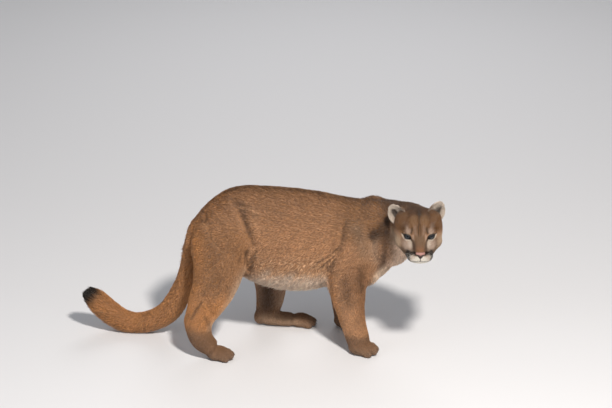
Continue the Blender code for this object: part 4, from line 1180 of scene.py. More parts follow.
class Coat:
    """The values of the coat at every point of the skin."""

    def __init__(self, skin, frame, head):
        mesh = skin.data
        self.head = head
        self.points = read_points(mesh)
        self.spread = Spread(edges_of(mesh), len(self.points))
        self.normals = read_normals(mesh)
        self.smooth_normals = unit(self.spread.soften(self.normals, 2))
        self.local = to_local(self.points, head)
        self.nodes = np.array(nearest_nodes(self.points, node_finder(frame, ("eye",))))
        names = np.array([REGION_OF[name] for name in self.nodes])
        self.regions = {name: self.spread.soften((names == name).astype(float), SOFT_REGIONS[name]) for name in COAT}
        total = sum(self.regions.values())
        self.regions = {name: share / total for name, share in self.regions.items()}
        tell("regions")
        self.lie = lie_of(mesh, self.points, self.smooth_normals, self.spread, self.regions, head)
        tell("lie")
        self.streak = self.streaks(STREAK_SCALE, STREAK_STEP)
        self.colour = coat_colours(self.points, self.local, self.smooth_normals, self.regions, self.streak, head)
        depth, length, width, density, rise = [
            sum(self.regions[name] * COAT[name][column] for name in COAT) for column in range(5)
        ]
        f = self.local[:, 0]
        turned = self.smooth_normals @ np.array(head.to_3x3())
        fore = smoothstep(f, -0.08, 0.05) * (self.regions["head"] + self.regions["nose"])
        length = length * (1 + 0.45 * self.regions["head"] * smoothstep(f, -0.03, -0.09) - 0.45 * fore)
        width = width * (1 - 0.30 * fore)
        density = density * (1 + 0.5 * fore)
        under = self.regions["torso"] * smoothstep(self.points[:, 2], 0.35, 0.28)
        length = length * (1 + 0.80 * under)
        rise = rise * (1 + 0.6 * under)
        for side in (1, -1):
            ear = Ear(side)
            up, across = ear.place(self.local)
            inner = self.regions["ear"] * (self.local[:, 1] * side > 0) * (turned @ ear.out > 0)
            length = length * (1 + 1.3 * inner * smoothstep(-side * across, 0.2, 0.6) * smoothstep(up, 0.75, 0.45))
        self.length, self.width, self.rise = length / 1000, width / 1000, np.radians(rise)
        self.density = density * self.bare(head) * 10000
        self.colour = np.clip(self.colour, 0.01, 0.95)

    def streaks(self, scale, step):
        """Random swings drawn out along the lie of the coat."""
        noise = Noise(SEED)
        return sum(noise.at(self.points + self.lie * (k * step), scale) for k in range(-3, 4)) / 3.2

    def bare(self, head):
        """0 where no coat grows: eyes, nose pad and soles."""
        grows = np.ones(len(self.points))
        for side in (1, -1):
            outside, place = lid_distance(self.local, side)
            near = (place[:, 0] > 0) & (np.linalg.norm(place, axis=1) < 0.03)
            grows[near & (outside < 0.0016)] = 0
        f, l, u = self.local.T
        top = (NOSE_TOP - u) / (NOSE_TOP - NOSE_BOTTOM)
        pad = (f > 0.052) & (top > 0) & (top < 1) & (np.abs(l) < nose_half(np.clip(top, 0, 1)))
        grows[pad] = 0
        grows[(self.points[:, 2] < 0.006) & (self.normals[:, 2] < -0.4)] = 0
        return grows


def piece_names(coat, picked):
    """The piece of coat that each root belongs to."""
    nodes = coat.nodes[picked]
    points = coat.points[picked]
    local = coat.local[picked]
    names = np.array([PIECE_OF[name] for name in nodes])
    torso = names == "torso"
    high = points[:, 2] > 0.50
    names[torso & high] = "back"
    names[torso & ~high & (points[:, 1] < MIDLINE)] = "flank_right"
    names[torso & ~high & (points[:, 1] >= MIDLINE)] = "flank_left"
    names[torso & (points[:, 2] < 0.33) & (coat.smooth_normals[picked][:, 2] < -0.35)] = "belly"
    names[(names == "head") & (local[:, 0] > FACE_FROM)] = "face"
    return names


def grow_coat(skin, coat, total):
    """Roots spread over the skin by the coat's density, each with the skin's values there."""
    rng = np.random.default_rng(SEED)
    triangles = triangles_of(skin.data)
    corners = coat.points[triangles]
    area = np.linalg.norm(np.cross(corners[:, 1] - corners[:, 0], corners[:, 2] - corners[:, 0]), axis=1) / 2
    wanted = area * coat.density[triangles].mean(axis=1)
    wanted[(coat.density[triangles] <= 0).any(axis=1)] = 0
    sums = np.cumsum(wanted)
    tell("tufts wanted", sums[-1])
    count = int(min(total, sums[-1]))
    marks = (np.arange(count) + rng.random(count)) * sums[-1] / count
    owner = np.searchsorted(sums, marks)
    owner = np.minimum(owner, len(triangles) - 1)
    a, b = rng.random((2, count))
    fold = a + b > 1
    a[fold], b[fold] = 1 - a[fold], 1 - b[fold]
    shares = np.stack([1 - a - b, a, b], axis=1)
    return owner, shares, rng


def blended(values, triangles, owner, shares):
    picked = values[triangles[owner]]
    if values.ndim == 1:
        return np.sum(picked * shares, axis=1)
    return np.sum(picked * shares[:, :, None], axis=1)


TUFT_FACES = [(0, 1, 2), (0, 3, 4, 1), (1, 4, 5, 2), (2, 5, 3, 0), (3, 6, 4), (4, 6, 5), (5, 6, 3)]
# Across and along a tuft's patch on the unwrap, for its seven points
TUFT_PATCH = np.array([(-0.4, -0.5), (0.4, -0.5), (0.0, -0.5), (-0.5, 0.05), (0.5, 0.05), (0.0, 0.05), (0.0, 0.5)])
# Painted shade along each tuft: darker at its root, where the coat shades itself, and a little lighter at its tip
TUFT_ROOT_SHADE = np.array([0.84, 0.84, 0.88, 0.98, 0.98, 1.0, 1.06])


def tuft_points(roots, normals, lie, side, length, width, rise, droop):
    """Seven points a tuft: three at the root, three at the bend, and the tip."""
    first = lie * np.cos(rise)[:, None] + normals * np.sin(rise)[:, None]
    last = lie * np.cos(rise - droop)[:, None] + normals * np.sin(rise - droop)[:, None]
    bend = roots + first * (0.45 * length)[:, None]
    tip = bend + last * (0.55 * length)[:, None]
    half = side * (width / 2)[:, None]
    crest = normals * (0.34 * width)[:, None]
    sunk = roots - normals * ROOT_SUNK
    return np.stack([
        sunk - 0.75 * half, sunk + 0.75 * half, sunk + 0.75 * crest,
        bend - half, bend + half, bend + crest, tip,
    ], axis=1)


def tuft_mesh(name, points, shades, patches, material):
    """One closed mesh of many tufts, with its colours and its unwrap."""
    count = len(points)
    mesh = bpy.data.meshes.new(name)
    corner_list = np.array([corner for face in TUFT_FACES for corner in face])
    sizes = np.array([len(face) for face in TUFT_FACES])
    corners = (corner_list[None, :] + 7 * np.arange(count)[:, None]).ravel()
    mesh.vertices.add(7 * count)
    mesh.loops.add(len(corners))
    mesh.polygons.add(len(sizes) * count)
    mesh.vertices.foreach_set("co", points.astype(np.float32).ravel())
    mesh.loops.foreach_set("vertex_index", corners.astype(np.int32))
    starts = np.concatenate([[0], np.cumsum(sizes)[:-1]])
    starts = (starts[None, :] + len(corner_list) * np.arange(count)[:, None]).ravel()
    mesh.polygons.foreach_set("loop_start", starts.astype(np.int32))
    mesh.update(calc_edges=True)
    colours = mesh.color_attributes.new("shade", "FLOAT_COLOR", "POINT")
    flat = np.ones((7 * count, 4), np.float32)
    flat[:, :3] = shades.reshape(-1, 3)
    colours.data.foreach_set("color", flat.ravel())
    unwrap = mesh.uv_layers.new(name="OFBake")
    unwrap.data.foreach_set("uv", patches.reshape(-1, 2)[corners].astype(np.float32).ravel())
    mesh.materials.append(material)
    mesh.polygons.foreach_set("use_smooth", [True] * len(mesh.polygons))
    return mesh


def unwrap_of(skin):
    """The skin's own unwrap: a place on it for each corner of each of its triangles."""
    bpy.context.view_layer.objects.active = skin
    skin.select_set(True)
    bpy.ops.object.mode_set(mode="EDIT")
    bpy.ops.mesh.select_all(action="SELECT")
    bpy.ops.uv.smart_project(angle_limit=math.radians(75), island_margin=0.002)
    bpy.ops.object.mode_set(mode="OBJECT")
    mesh = skin.data
    mesh.calc_loop_triangles()
    loops = np.zeros(len(mesh.loop_triangles) * 3, np.int32)
    mesh.loop_triangles.foreach_get("loops", loops)
    places = np.zeros(len(mesh.loops) * 2, np.float32)
    mesh.uv_layers.active.data.foreach_get("uv", places)
    places = places.reshape(-1, 2)[loops.reshape(-1, 3)]
    mesh.uv_layers.remove(mesh.uv_layers.active)
    return places


def dress(skin, coat, material, total):
    """The whole coat, in pieces."""
    triangles = triangles_of(skin.data)
    places = unwrap_of(skin)
    tell("unwrap")
    owner, shares, rng = grow_coat(skin, coat, total)
    pick = lambda values: blended(values, triangles, owner, shares)
    count = len(owner)
    roots = pick(coat.points)
    normals = unit(pick(coat.smooth_normals))
    lie = flat_on(pick(coat.lie), normals)
    side = np.cross(lie, normals)
    place = np.sum(places[owner] * shares[:, :, None], axis=1)
    clump = Noise(SEED + 1).at(roots, CLUMP_SCALE)
    streak = pick(coat.streak)
    lean = np.radians(9.0) * rng.standard_normal(count) + np.radians(16.0) * clump
    lie, side = (
        lie * np.cos(lean)[:, None] + side * np.sin(lean)[:, None],
        side * np.cos(lean)[:, None] - lie * np.sin(lean)[:, None],
    )
    size = 1 + 0.22 * rng.standard_normal(count).clip(-2, 2)
    length = pick(coat.length) * size
    width = pick(coat.width) * (1 + 0.15 * rng.standard_normal(count).clip(-2, 2))
    rise = pick(coat.rise) * (1 + 0.30 * rng.standard_normal(count) + 0.35 * streak).clip(0.6, 1.9)
    droop = rise * 0.8
    points = tuft_points(roots, normals, lie, side, length, width, rise, droop)
    points[..., 2] = np.maximum(points[..., 2], LEAST_HEIGHT)
    tone = 1 + TONE_SPREAD * rng.standard_normal(count).clip(-2.2, 2.2) + STREAK_TONE * streak
    regions = {name: pick(share) for name, share in coat.regions.items()}
    colour = coat_colours(roots, to_local(roots, coat.head), normals, regions, streak, coat.head)
    # Colour of each tuft point: the coat's colour, its random tone and the painted shade toward the root
    shades = colour[:, None, :] * tone[:, None, None] * TUFT_ROOT_SHADE[None, :, None]
    shades = shades.clip(0.004, 0.95)
    patches = place[:, None, :] + TUFT_PATCH[None] * PATCH_SIZE
    patches = patches.clip(0.0, 1.0)
    nearest = triangles[owner, np.argmax(shares, axis=1)]
    names = piece_names(coat, nearest)
    made = []
    for name in sorted(set(names)):
        mine = names == name
        mesh = tuft_mesh("coat_" + name, points[mine], shades[mine], patches[mine], material)
        piece = object_of(mesh, "coat_" + name)
        tell(name, int(mine.sum()) * 10)
        made.append(piece)
    return made


def finish_material(name, roughness, specular):
    material = bpy.data.materials.new(name)
    material.use_nodes = True
    shader = material.node_tree.nodes["Principled BSDF"]
    shader.inputs["Roughness"].default_value = roughness
    shader.inputs["Specular IOR Level"].default_value = specular
    return material, shader


def fur_material():
    """The coat's finish: the colour that each tuft carries, dull, with a faint sheen."""
    material, shader = finish_material("tawny coat", 0.75, 0.10)
    tree = material.node_tree
    shade = tree.nodes.new("ShaderNodeAttribute")
    shade.attribute_name = "shade"
    tree.links.new(shade.outputs["Color"], shader.inputs["Base Color"])
    shader.inputs["Sheen Weight"].default_value = 0.12
    shader.inputs["Sheen Roughness"].default_value = 0.5
    return material


def undercoat_material():
    """The skin between the tufts: their colour, broken up by fine dense hair."""
    material, shader = finish_material("undercoat", 0.80, 0.05)
    tree = material.node_tree
    shade = tree.nodes.new("ShaderNodeAttribute")
    shade.attribute_name = "shade"
    place = tree.nodes.new("ShaderNodeTexCoord")
    hair = tree.nodes.new("ShaderNodeTexNoise")
    hair.inputs["Scale"].default_value = UNDERCOAT_GRAIN
    hair.inputs["Detail"].default_value = 3.0
    hair.inputs["Roughness"].default_value = 0.7
    ramp = tree.nodes.new("ShaderNodeValToRGB")
    ramp.color_ramp.elements[0].position = 0.38
    ramp.color_ramp.elements[0].color = (0.45, 0.43, 0.41, 1)
    ramp.color_ramp.elements[1].position = 0.62
    ramp.color_ramp.elements[1].color = (1.0, 1.0, 1.0, 1)
    mix = tree.nodes.new("ShaderNodeMix")
    mix.data_type = "RGBA"
    mix.blend_type = "MULTIPLY"
    mix.inputs["Factor"].default_value = 1.0
    bump = tree.nodes.new("ShaderNodeBump")
    bump.inputs["Strength"].default_value = 0.7
    bump.inputs["Distance"].default_value = 0.0008
    tree.links.new(place.outputs["Object"], hair.inputs["Vector"])
    tree.links.new(hair.outputs["Fac"], ramp.inputs["Fac"])
    tree.links.new(shade.outputs["Color"], mix.inputs["A"])
    tree.links.new(ramp.outputs["Color"], mix.inputs["B"])
    tree.links.new(mix.outputs["Result"], shader.inputs["Base Color"])
    tree.links.new(hair.outputs["Fac"], bump.inputs["Height"])
    tree.links.new(bump.outputs["Normal"], shader.inputs["Normal"])
    return material


def gaze_of(side):
    outward, up = GAZE_OUTWARD * side, GAZE_UP
    return Vector((math.cos(up) * math.cos(outward), math.cos(up) * math.sin(outward), math.sin(up)))


def eyeball(name, head, side, material):
    """An eyeball with the clear bulge over its iris. Each point keeps how far off the gaze it is."""
    bm = bmesh.new()
    bmesh.ops.create_uvsphere(bm, u_segments=48, v_segments=48, radius=EYE_RADIUS)
    turn = gaze_of(side).to_track_quat("Z", "Y").to_matrix()
    centre = Vector(eye_spot(side))
    angles = []
    for vert in bm.verts:
        angle = math.acos(max(-1.0, min(1.0, vert.co.z / EYE_RADIUS)))
        lift = CORNEA_RISE * max(0.0, 1 - (angle / CORNEA_ANGLE) ** 2)
        vert.co = head @ (centre + turn @ (vert.co * (1 + lift / EYE_RADIUS)))
        angles.append(angle)
    mesh = bpy.data.meshes.new(name)
    bm.to_mesh(mesh)
    bm.free()
    mesh.attributes.new("off_gaze", "FLOAT", "POINT").data.foreach_set("value", angles)
    mesh.polygons.foreach_set("use_smooth", [True] * len(mesh.polygons))
    mesh.materials.append(material)
    return object_of(mesh, name)


def eye_material():
    """Black pupil, dark blue-grey iris in rings, and a wet gloss over all."""
    material, shader = finish_material("eye", 0.08, 0.20)
    tree = material.node_tree
    angle = tree.nodes.new("ShaderNodeAttribute")
    angle.attribute_name = "off_gaze"
    ramp = tree.nodes.new("ShaderNodeValToRGB")
    for k, (place, colour) in enumerate(IRIS_STOPS):
        stop = ramp.color_ramp.elements[k] if k < 2 else ramp.color_ramp.elements.new(place)
        stop.position = place
        stop.color = (*colour, 1)
    tree.links.new(angle.outputs["Fac"], ramp.inputs["Fac"])
    tree.links.new(ramp.outputs["Color"], shader.inputs["Base Color"])
    shader.inputs["Coat Weight"].default_value = 0.50
    shader.inputs["Coat Roughness"].default_value = 0.015
    return material


def tube_mesh(name, rings):
    """A closed hoop through rings of points, each ring the same number of points."""
    bm = bmesh.new()
    loops = [[bm.verts.new(p) for p in ring] for ring in rings]
    for k, ring in enumerate(loops):
        after = loops[(k + 1) % len(loops)]
        for j in range(len(ring)):
            i = (j + 1) % len(ring)
            bm.faces.new((ring[j], ring[i], after[i], after[j]))
    bmesh.ops.recalc_face_normals(bm, faces=bm.faces)
    mesh = bpy.data.meshes.new(name)
    bm.to_mesh(mesh)
    bm.free()
    mesh.polygons.foreach_set("use_smooth", [True] * len(mesh.polygons))
    return mesh


def lid_rims(name, head, side, material):
    """The dark wet edges of both lids, as a hoop round the opening, stouter above."""
    steps, sides = 72, 10
    route = lid_route(steps)[:-1]
    turn = eye_turn(side)
    rings = []
    for k, (across, up) in enumerate(route):
        upper = smoothstep(np.array(up), -0.001, 0.004)
        radius = RIM_RADIUS * (1 + 0.55 * upper)
        reach = EYE_RADIUS + 0.0004 + RIM_LIFT * upper
        depth = math.sqrt(max(reach**2 - across**2 - up**2, 0.0))
        centre = np.array((depth, across, up))
        before, after = route[k - 1], route[(k + 1) % len(route)]
        along = unit(np.array((0.0, after[0] - before[0], after[1] - before[1])))
        out = unit(centre)
        aside = unit(np.cross(along, out))
        ring = []
        for j in range(sides):
            angle = 2 * math.pi * j / sides
            spot_here = centre + radius * (aside * math.cos(angle) + out * math.sin(angle))
            ring.append(head @ Vector(turn @ spot_here + eye_spot(side)))
        rings.append(ring)
    mesh = tube_mesh(name, rings)
    mesh.materials.append(material)
    return object_of(mesh, name)


def nose_pad(grid, head, material):
    """The bare pad of the nose, with nostrils, wings and the groove down its middle."""
    forward, left, up, down, across = grid
    side = np.abs(left)
    edge = np.minimum(1 - np.abs(across)[None, :], np.minimum(down, 1 - down)[:, None] * 1.6)
    forward = forward + NOSE_THICK * smoothstep(edge, 0.0, 0.22) - NOSE_TUCK * smoothstep(edge, 0.06, 0.0)
    flat = np.stack([np.zeros(side.size), side.ravel(), up.ravel()], axis=1)
    hole = np.linalg.norm((flat - NOSTRIL) @ NOSTRIL_TURN / NOSTRIL_RADII, axis=1)
    hole = smoothstep(hole, 1.05, 0.60).reshape(side.shape)
    slit = line(flat, NOSTRIL_SLIT, 0.0012).reshape(side.shape)
    groove_share = np.exp(-((left / 0.0009) ** 2)) * smoothstep(down, 0.30, 0.50)[:, None]
    wing = line(flat, NOSE_WING, 0.0022).reshape(side.shape)
    forward = forward - 0.0060 * hole - 0.0026 * slit * (1 - hole) - 0.0010 * groove_share + 0.0009 * wing
    front = np.stack([forward, left, up], axis=-1).reshape(-1, 3)
    back = front - np.array((0.0085, 0, 0))
    # The pad's own dark rim and lower part, with painted shade in the nostrils, their slits and the groove down the
    # middle
    dark = np.clip(hole * 1.5 + slit + 0.6 * groove_share, 0, 1)
    rim = smoothstep(edge, 0.20, 0.04) * (0.15 + 0.85 * smoothstep(down, 0.15, 0.40)[:, None])
    low = smoothstep(down[:, None] + 26 * side, 0.42, 0.56)
    foot = smoothstep(down, 0.52, 0.68)[:, None]
    dark = np.maximum(np.maximum(dark, rim), np.maximum(0.95 * low * smoothstep(down, 0.22, 0.34)[:, None], foot)).ravel()
    bm = bmesh.new()
    faces_front = [bm.verts.new(head @ Vector(p)) for p in front]
    faces_back = [bm.verts.new(head @ Vector(p)) for p in back]
    rows, columns = NOSE_ROWS, NOSE_COLUMNS
    for verts in (faces_front, faces_back):
        for i in range(rows - 1):
            for j in range(columns - 1):
                a = i * columns + j
                bm.faces.new((verts[a], verts[a + 1], verts[a + columns + 1], verts[a + columns]))
    border = [j for j in range(columns)] + [i * columns + columns - 1 for i in range(1, rows)]
    border += [(rows - 1) * columns + j for j in range(columns - 2, -1, -1)]
    border += [i * columns for i in range(rows - 2, 0, -1)]
    for k, a in enumerate(border):
        b = border[(k + 1) % len(border)]
        bm.faces.new((faces_front[a], faces_front[b], faces_back[b], faces_back[a]))
    bmesh.ops.recalc_face_normals(bm, faces=bm.faces)
    mesh = bpy.data.meshes.new("nose_pad")
    bm.to_mesh(mesh)
    bm.free()
    dark = np.concatenate([dark, dark])
    shades = np.ones((len(mesh.vertices), 4), np.float32)
    shades[:, :3] = np.array(NOSE_PINK) * (1 - dark[:, None]) + np.array(NOSE_DARK) * dark[:, None]
    mesh.color_attributes.new("shade", "FLOAT_COLOR", "POINT").data.foreach_set("color", shades.ravel())
    mesh.polygons.foreach_set("use_smooth", [True] * len(mesh.polygons))
    mesh.materials.append(material)
    return object_of(mesh, "nose_pad")


def skin_material(name, roughness, grain, grain_depth):
    """Bare skin that takes the colour its points carry, with a fine grain."""
    material, shader = finish_material(name, roughness, 0.5)
    tree = material.node_tree
    shade = tree.nodes.new("ShaderNodeAttribute")
    shade.attribute_name = "shade"
    tree.links.new(shade.outputs["Color"], shader.inputs["Base Color"])
    place = tree.nodes.new("ShaderNodeTexCoord")
    cells = tree.nodes.new("ShaderNodeTexVoronoi")
    cells.inputs["Scale"].default_value = grain
    bump = tree.nodes.new("ShaderNodeBump")
    bump.inputs["Strength"].default_value = 0.5
    bump.inputs["Distance"].default_value = grain_depth
    tree.links.new(place.outputs["Object"], cells.inputs["Vector"])
    tree.links.new(cells.outputs["Distance"], bump.inputs["Height"])
    tree.links.new(bump.outputs["Normal"], shader.inputs["Normal"])
    return material


def plain_material(name, colour, roughness):
    material, shader = finish_material(name, roughness, 0.5)
    shader.inputs["Base Color"].default_value = (*colour, 1)
    return material


def bristle_tree(material):
    """Geometry nodes: a tapered, drooping bristle at every point, along the point's own aim."""
    tree = bpy.data.node_groups.new("bristles", "GeometryNodeTree")
    face = tree.interface
    face.new_socket("Geometry", in_out="INPUT", socket_type="NodeSocketGeometry")
    sockets = {}
    for name, value in (("Thickness", 0.0004), ("Droop", 0.2), ("Least Share", 0.7)):
        sockets[name] = face.new_socket(name, in_out="INPUT", socket_type="NodeSocketFloat")
        sockets[name].default_value = value
    sockets["Seed"] = face.new_socket("Seed", in_out="INPUT", socket_type="NodeSocketInt")
    face.new_socket("Geometry", in_out="OUTPUT", socket_type="NodeSocketGeometry")
    new = tree.nodes.new
    join = tree.links.new
    start, end = new("NodeGroupInput"), new("NodeGroupOutput")

    shaft = new("GeometryNodeCurvePrimitiveLine")
    shaft.inputs["End"].default_value = (0, 0, 1)
    cut = new("GeometryNodeResampleCurve")
    cut.inputs["Count"].default_value = 8
    join(shaft.outputs["Curve"], cut.inputs["Curve"])
    aim = new("GeometryNodeInputNamedAttribute")
    aim.data_type = "FLOAT_VECTOR"
    aim.inputs["Name"].default_value = "aim"
    turn = new("FunctionNodeAlignRotationToVector")
    turn.axis = "Z"
    join(aim.outputs["Attribute"], turn.inputs["Vector"])
    reach = new("ShaderNodeVectorMath")
    reach.operation = "LENGTH"
    join(aim.outputs["Attribute"], reach.inputs[0])
    chance = new("FunctionNodeRandomValue")
    join(start.outputs["Least Share"], chance.inputs[2])
    join(start.outputs["Seed"], chance.inputs["Seed"])
    size = new("ShaderNodeMath")
    size.operation = "MULTIPLY"
    join(reach.outputs["Value"], size.inputs[0])
    join(chance.outputs[1], size.inputs[1])
    plant = new("GeometryNodeInstanceOnPoints")
    join(start.outputs["Geometry"], plant.inputs["Points"])
    join(cut.outputs["Curve"], plant.inputs["Instance"])
    join(turn.outputs["Rotation"], plant.inputs["Rotation"])
    join(size.outputs["Value"], plant.inputs["Scale"])
    real = new("GeometryNodeRealizeInstances")
    join(plant.outputs["Instances"], real.inputs["Geometry"])

    along = new("GeometryNodeSplineParameter")
    square = new("ShaderNodeMath")
    square.operation = "POWER"
    square.inputs[1].default_value = 2.0
    join(along.outputs["Factor"], square.inputs[0])
    drop = new("ShaderNodeMath")
    drop.operation = "MULTIPLY"
    join(square.outputs["Value"], drop.inputs[0])
    join(start.outputs["Droop"], drop.inputs[1])
    whole = new("GeometryNodeSplineLength")
    fall = new("ShaderNodeMath")
    fall.operation = "MULTIPLY"
    join(drop.outputs["Value"], fall.inputs[0])
    join(whole.outputs["Length"], fall.inputs[1])
    down = new("ShaderNodeVectorMath")
    down.operation = "SCALE"
    down.inputs[0].default_value = (0, 0, -1)
    join(fall.outputs["Value"], down.inputs["Scale"])
    bend = new("GeometryNodeSetPosition")
    join(real.outputs["Geometry"], bend.inputs["Geometry"])
    join(down.outputs["Vector"], bend.inputs["Offset"])
    taper = new("ShaderNodeMapRange")
    taper.inputs["To Min"].default_value = 1.0
    taper.inputs["To Max"].default_value = 0.12
    join(along.outputs["Factor"], taper.inputs["Value"])
    stout = new("ShaderNodeMath")
    stout.operation = "MULTIPLY"
    join(taper.outputs["Result"], stout.inputs[0])
    join(start.outputs["Thickness"], stout.inputs[1])
    ring = new("GeometryNodeCurvePrimitiveCircle")
    ring.inputs["Resolution"].default_value = 5
    ring.inputs["Radius"].default_value = 1.0
    body = new("GeometryNodeCurveToMesh")
    body.inputs["Fill Caps"].default_value = True
    thick = new("GeometryNodeSetCurveRadius")
    join(bend.outputs["Geometry"], thick.inputs["Curve"])
    join(stout.outputs["Value"], thick.inputs["Radius"])
    join(thick.outputs["Curve"], body.inputs["Curve"])
    join(ring.outputs["Curve"], body.inputs["Profile Curve"])
    if "Scale" in body.inputs:
        join(stout.outputs["Value"], body.inputs["Scale"])
    finish = new("GeometryNodeSetMaterial")
    finish.inputs["Material"].default_value = material
    last = new("GeometryNodeRealizeInstances")
    join(body.outputs["Mesh"], last.inputs["Geometry"])
    join(last.outputs["Geometry"], finish.inputs["Geometry"])
    join(finish.outputs["Geometry"], end.inputs["Geometry"])
    return tree, sockets


def bristles(name, roots, aims, thickness, droop, seed, material):
    """Whiskers or brow hairs as one plain mesh, from their roots and aims in the row frame."""
    mesh = bpy.data.meshes.new(name)
    mesh.from_pydata([tuple(p) for p in roots], [], [])
    mesh.attributes.new("aim", "FLOAT_VECTOR", "POINT").data.foreach_set("vector", np.array(aims, float).ravel())
    piece = object_of(mesh, name)
    tree, sockets = bristle_tree(material)
    grow = piece.modifiers.new("grow", "NODES")
    grow.node_group = tree
    grow[sockets["Thickness"].identifier] = thickness
    grow[sockets["Droop"].identifier] = droop
    grow[sockets["Seed"].identifier] = seed
    applied(piece)
    piece.data.polygons.foreach_set("use_smooth", [True] * len(piece.data.polygons))
    return piece


def whisker_roots(skin, head):
    """Roots in rows on the whisker pads, each with its aim."""
    points = to_local(read_points(skin.data), head)
    faces = triangles_of(skin.data)
    near = points[faces].mean(axis=1)[:, 0] > -0.06
    tree = BVHTree.FromPolygons(points.tolist(), faces[near].tolist())
    turn = np.array(head.to_3x3())
    roots, aims = [], []
    for side in (1, -1):
        for row in range(4):
            for k in range(WHISKERS_IN_ROW - (row == 3)):
                left = 0.017 + 0.0062 * k + 0.0015 * row
                up = -0.046 - 0.0062 * row + 0.0012 * k
                hit = tree.ray_cast(Vector((0.15, side * left, up)), Vector((-1, 0, 0)))[0]
                if hit is None:
                    continue
                back = 0.35 + 0.22 * k
                aim = unit(np.array((0.62 - back * 0.75, side * (0.75 + 0.05 * k), -0.16 - 0.10 * row)))
                reach = WHISKER_LENGTH * (0.62 + 0.10 * k)
                roots.append(np.array(hit) - aim * 0.002)
                aims.append(aim * reach)
    return to_row(np.array(roots), head), np.array(aims) @ turn.T


def claws(material):
    """The claws, drawn in so that only their tips show past the coat of the toes."""
    bm = bmesh.new()
    for middle, heading, size in PAWS.values():
        turn = math.radians(heading)
        for forward, left, up in TOE_ROWS:
            root = Vector(paw_places(middle, heading, size, [(forward + 0.0150, left, up - 0.003)])[0])
            fan = turn + left * 4.0
            ahead = Vector((math.cos(fan), math.sin(fan), 0))
            rings = []
            for k in range(7):
                t = k / 6
                angle = math.radians(18 - 85 * t)
                centre = root + ahead * (0.0100 * math.sin(t * 1.35)) + Vector((0, 0, 0.0024 - 0.0080 * t * t))
                radius = 0.0021 * (1 - t) ** 0.75 + 0.00025
                upward = Vector((0, 0, 1)) * math.cos(angle) - ahead * math.sin(angle)
                aside = ahead.cross(Vector((0, 0, 1)))
                rings.append([
                    bm.verts.new(centre + radius * (aside * 0.62 * math.cos(a) + upward * math.sin(a)))
                    for a in np.arange(8) * math.pi / 4
                ])
            for low, high in zip(rings, rings[1:]):
                for j in range(8):
                    bm.faces.new((low[j], low[(j + 1) % 8], high[(j + 1) % 8], high[j]))
            bm.faces.new(rings[0])
            bm.faces.new(rings[-1])
    bmesh.ops.recalc_face_normals(bm, faces=bm.faces)
    mesh = bpy.data.meshes.new("claws")
    bm.to_mesh(mesh)
    bm.free()
    mesh.polygons.foreach_set("use_smooth", [True] * len(mesh.polygons))
    mesh.materials.append(material)
    return object_of(mesh, "claws")


def colour_skin(skin, coat, material):
    mesh = skin.data
    colours = mesh.color_attributes.new("shade", "FLOAT_COLOR", "POINT")
    flat = np.ones((len(coat.points), 4), np.float32)
    flat[:, :3] = coat.colour * SKIN_SHADE
    colours.data.foreach_set("color", flat.ravel())
    mesh.materials.clear()
    mesh.materials.append(material)


import time
T0 = time.time()


def tell(*words):
    print("STAGE", round(time.time() - T0, 1), *words, flush=True)


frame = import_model()
HEAD = head_matrix()
skin, pad_grid = make_skin(frame, HEAD)
tell("skin", len(skin.data.vertices), len(skin.data.polygons))
coat = Coat(skin, frame, HEAD)
tell("coat values")
fur = fur_material()
pieces = dress(skin, coat, fur, TUFTS)
colour_skin(skin, coat, undercoat_material())
tell("dressed")
lid_finish = plain_material("lid rim", LID_SKIN, 0.32)
eye_finish = eye_material()
pad_finish = skin_material("nose skin", 0.42, 1100.0, 0.0004)
for side, word in ((1, "left"), (-1, "right")):
    eye = eyeball("eyeball_" + word, HEAD, side, eye_finish)
    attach(eye, "root")
    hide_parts("eye_" + word)
    rims = lid_rims("lids_" + word, HEAD, side, lid_finish)
    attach(rims, "root")
pad = nose_pad(pad_grid, HEAD, pad_finish)
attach(pad, "root")
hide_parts("nose")
roots, aims = whisker_roots(skin, HEAD)
whiskers = bristles("whiskers", roots, aims, 0.00019, 0.20, SEED, plain_material("whisker", WHISKER_WHITE, 0.45))
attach(whiskers, "root")
nails = claws(plain_material("claw horn", CLAW_HORN, 0.35))
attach(nails, "root")
tell("small pieces")
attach(skin, "root")
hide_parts(*[n for n in frame["nodes"] if not n.startswith(("eye", "nose"))])
for piece in pieces:
    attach(piece, "root")


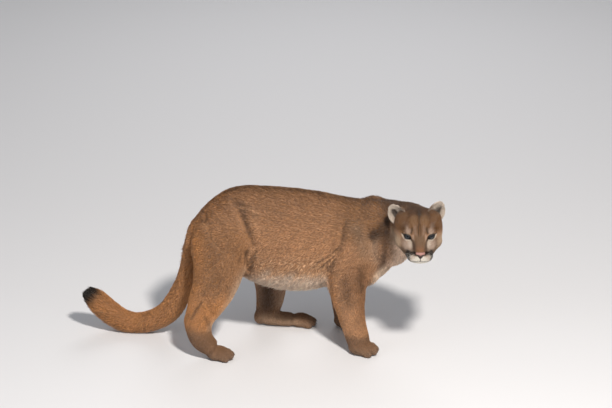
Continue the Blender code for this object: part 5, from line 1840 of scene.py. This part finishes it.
# Stage
def add_stage(shift):
    floor_mesh = bpy.data.meshes.new("floor")
    bm = bmesh.new()
    bmesh.ops.create_grid(bm, x_segments=1, y_segments=1, size=14.0)
    bm.to_mesh(floor_mesh)
    floor = object_of(floor_mesh, "floor")
    m = bpy.data.materials.new("floor")
    m.use_nodes = True
    m.node_tree.nodes["Principled BSDF"].inputs["Base Color"].default_value = (0.74, 0.74, 0.765, 1)
    m.node_tree.nodes["Principled BSDF"].inputs["Roughness"].default_value = 0.9
    floor_mesh.materials.append(m)
    world = bpy.data.worlds.new("studio")
    world.use_nodes = True
    world.node_tree.nodes["Background"].inputs["Color"].default_value = (0.9, 0.92, 0.95, 1)
    world.node_tree.nodes["Background"].inputs["Strength"].default_value = 0.24
    bpy.context.scene.world = world
    bpy.context.scene.view_settings.view_transform = "Standard"
    bpy.context.scene.view_settings.look = "None"
    for name, place, size, power, colour in (
        ("key", (1.3, -3.8, 4.7), 0.6, 395, (1.0, 0.95, 0.88)),
        ("fill", (-4.0, -2.5, 2.2), 3.0, 30, (0.9, 0.95, 1.0)),
        ("back", (0.5, 4.5, 3.5), 3.0, 60, (1.0, 1.0, 1.0)),
        ("bounce", (2.4, -3.4, 0.5), 2.5, 22, (1.0, 0.97, 0.94)),
    ):
        data = bpy.data.lights.new(name, "AREA")
        data.shape = "DISK"
        data.size = size
        data.energy = power
        data.color = colour
        lamp = bpy.data.objects.new(name, data)
        lamp.location = place
        lamp.rotation_euler = (Vector((0.1, 0, 0.3)) - Vector(place)).to_track_quat("-Z", "Y").to_euler()
        bpy.context.scene.collection.objects.link(lamp)
    el = math.radians(22.0)
    S = 245.0
    cam_data = bpy.data.cameras.new("camera")
    cam_data.sensor_width = 36
    cam_data.lens = 36 * S * 12 / 612
    cam_data.clip_end = 100
    cam = bpy.data.objects.new("camera", cam_data)
    up = Vector((0, math.sin(el), math.cos(el)))
    back = Vector((0, -math.cos(el), math.sin(el)))
    target = Vector((0.1574, 0.0594, 0)) + Vector((6 / S, 0, 0)) + up * ((340 - 204) / S)
    cam.matrix_world = Matrix((
        (1, 0, 0, 0), (0, math.sin(el), -math.cos(el), 0), (0, math.cos(el), math.sin(el), 0), (0, 0, 0, 1),
    ))
    cam.location = target + back * 12
    bpy.context.scene.collection.objects.link(cam)
    bpy.context.scene.camera = cam


add_stage(None)
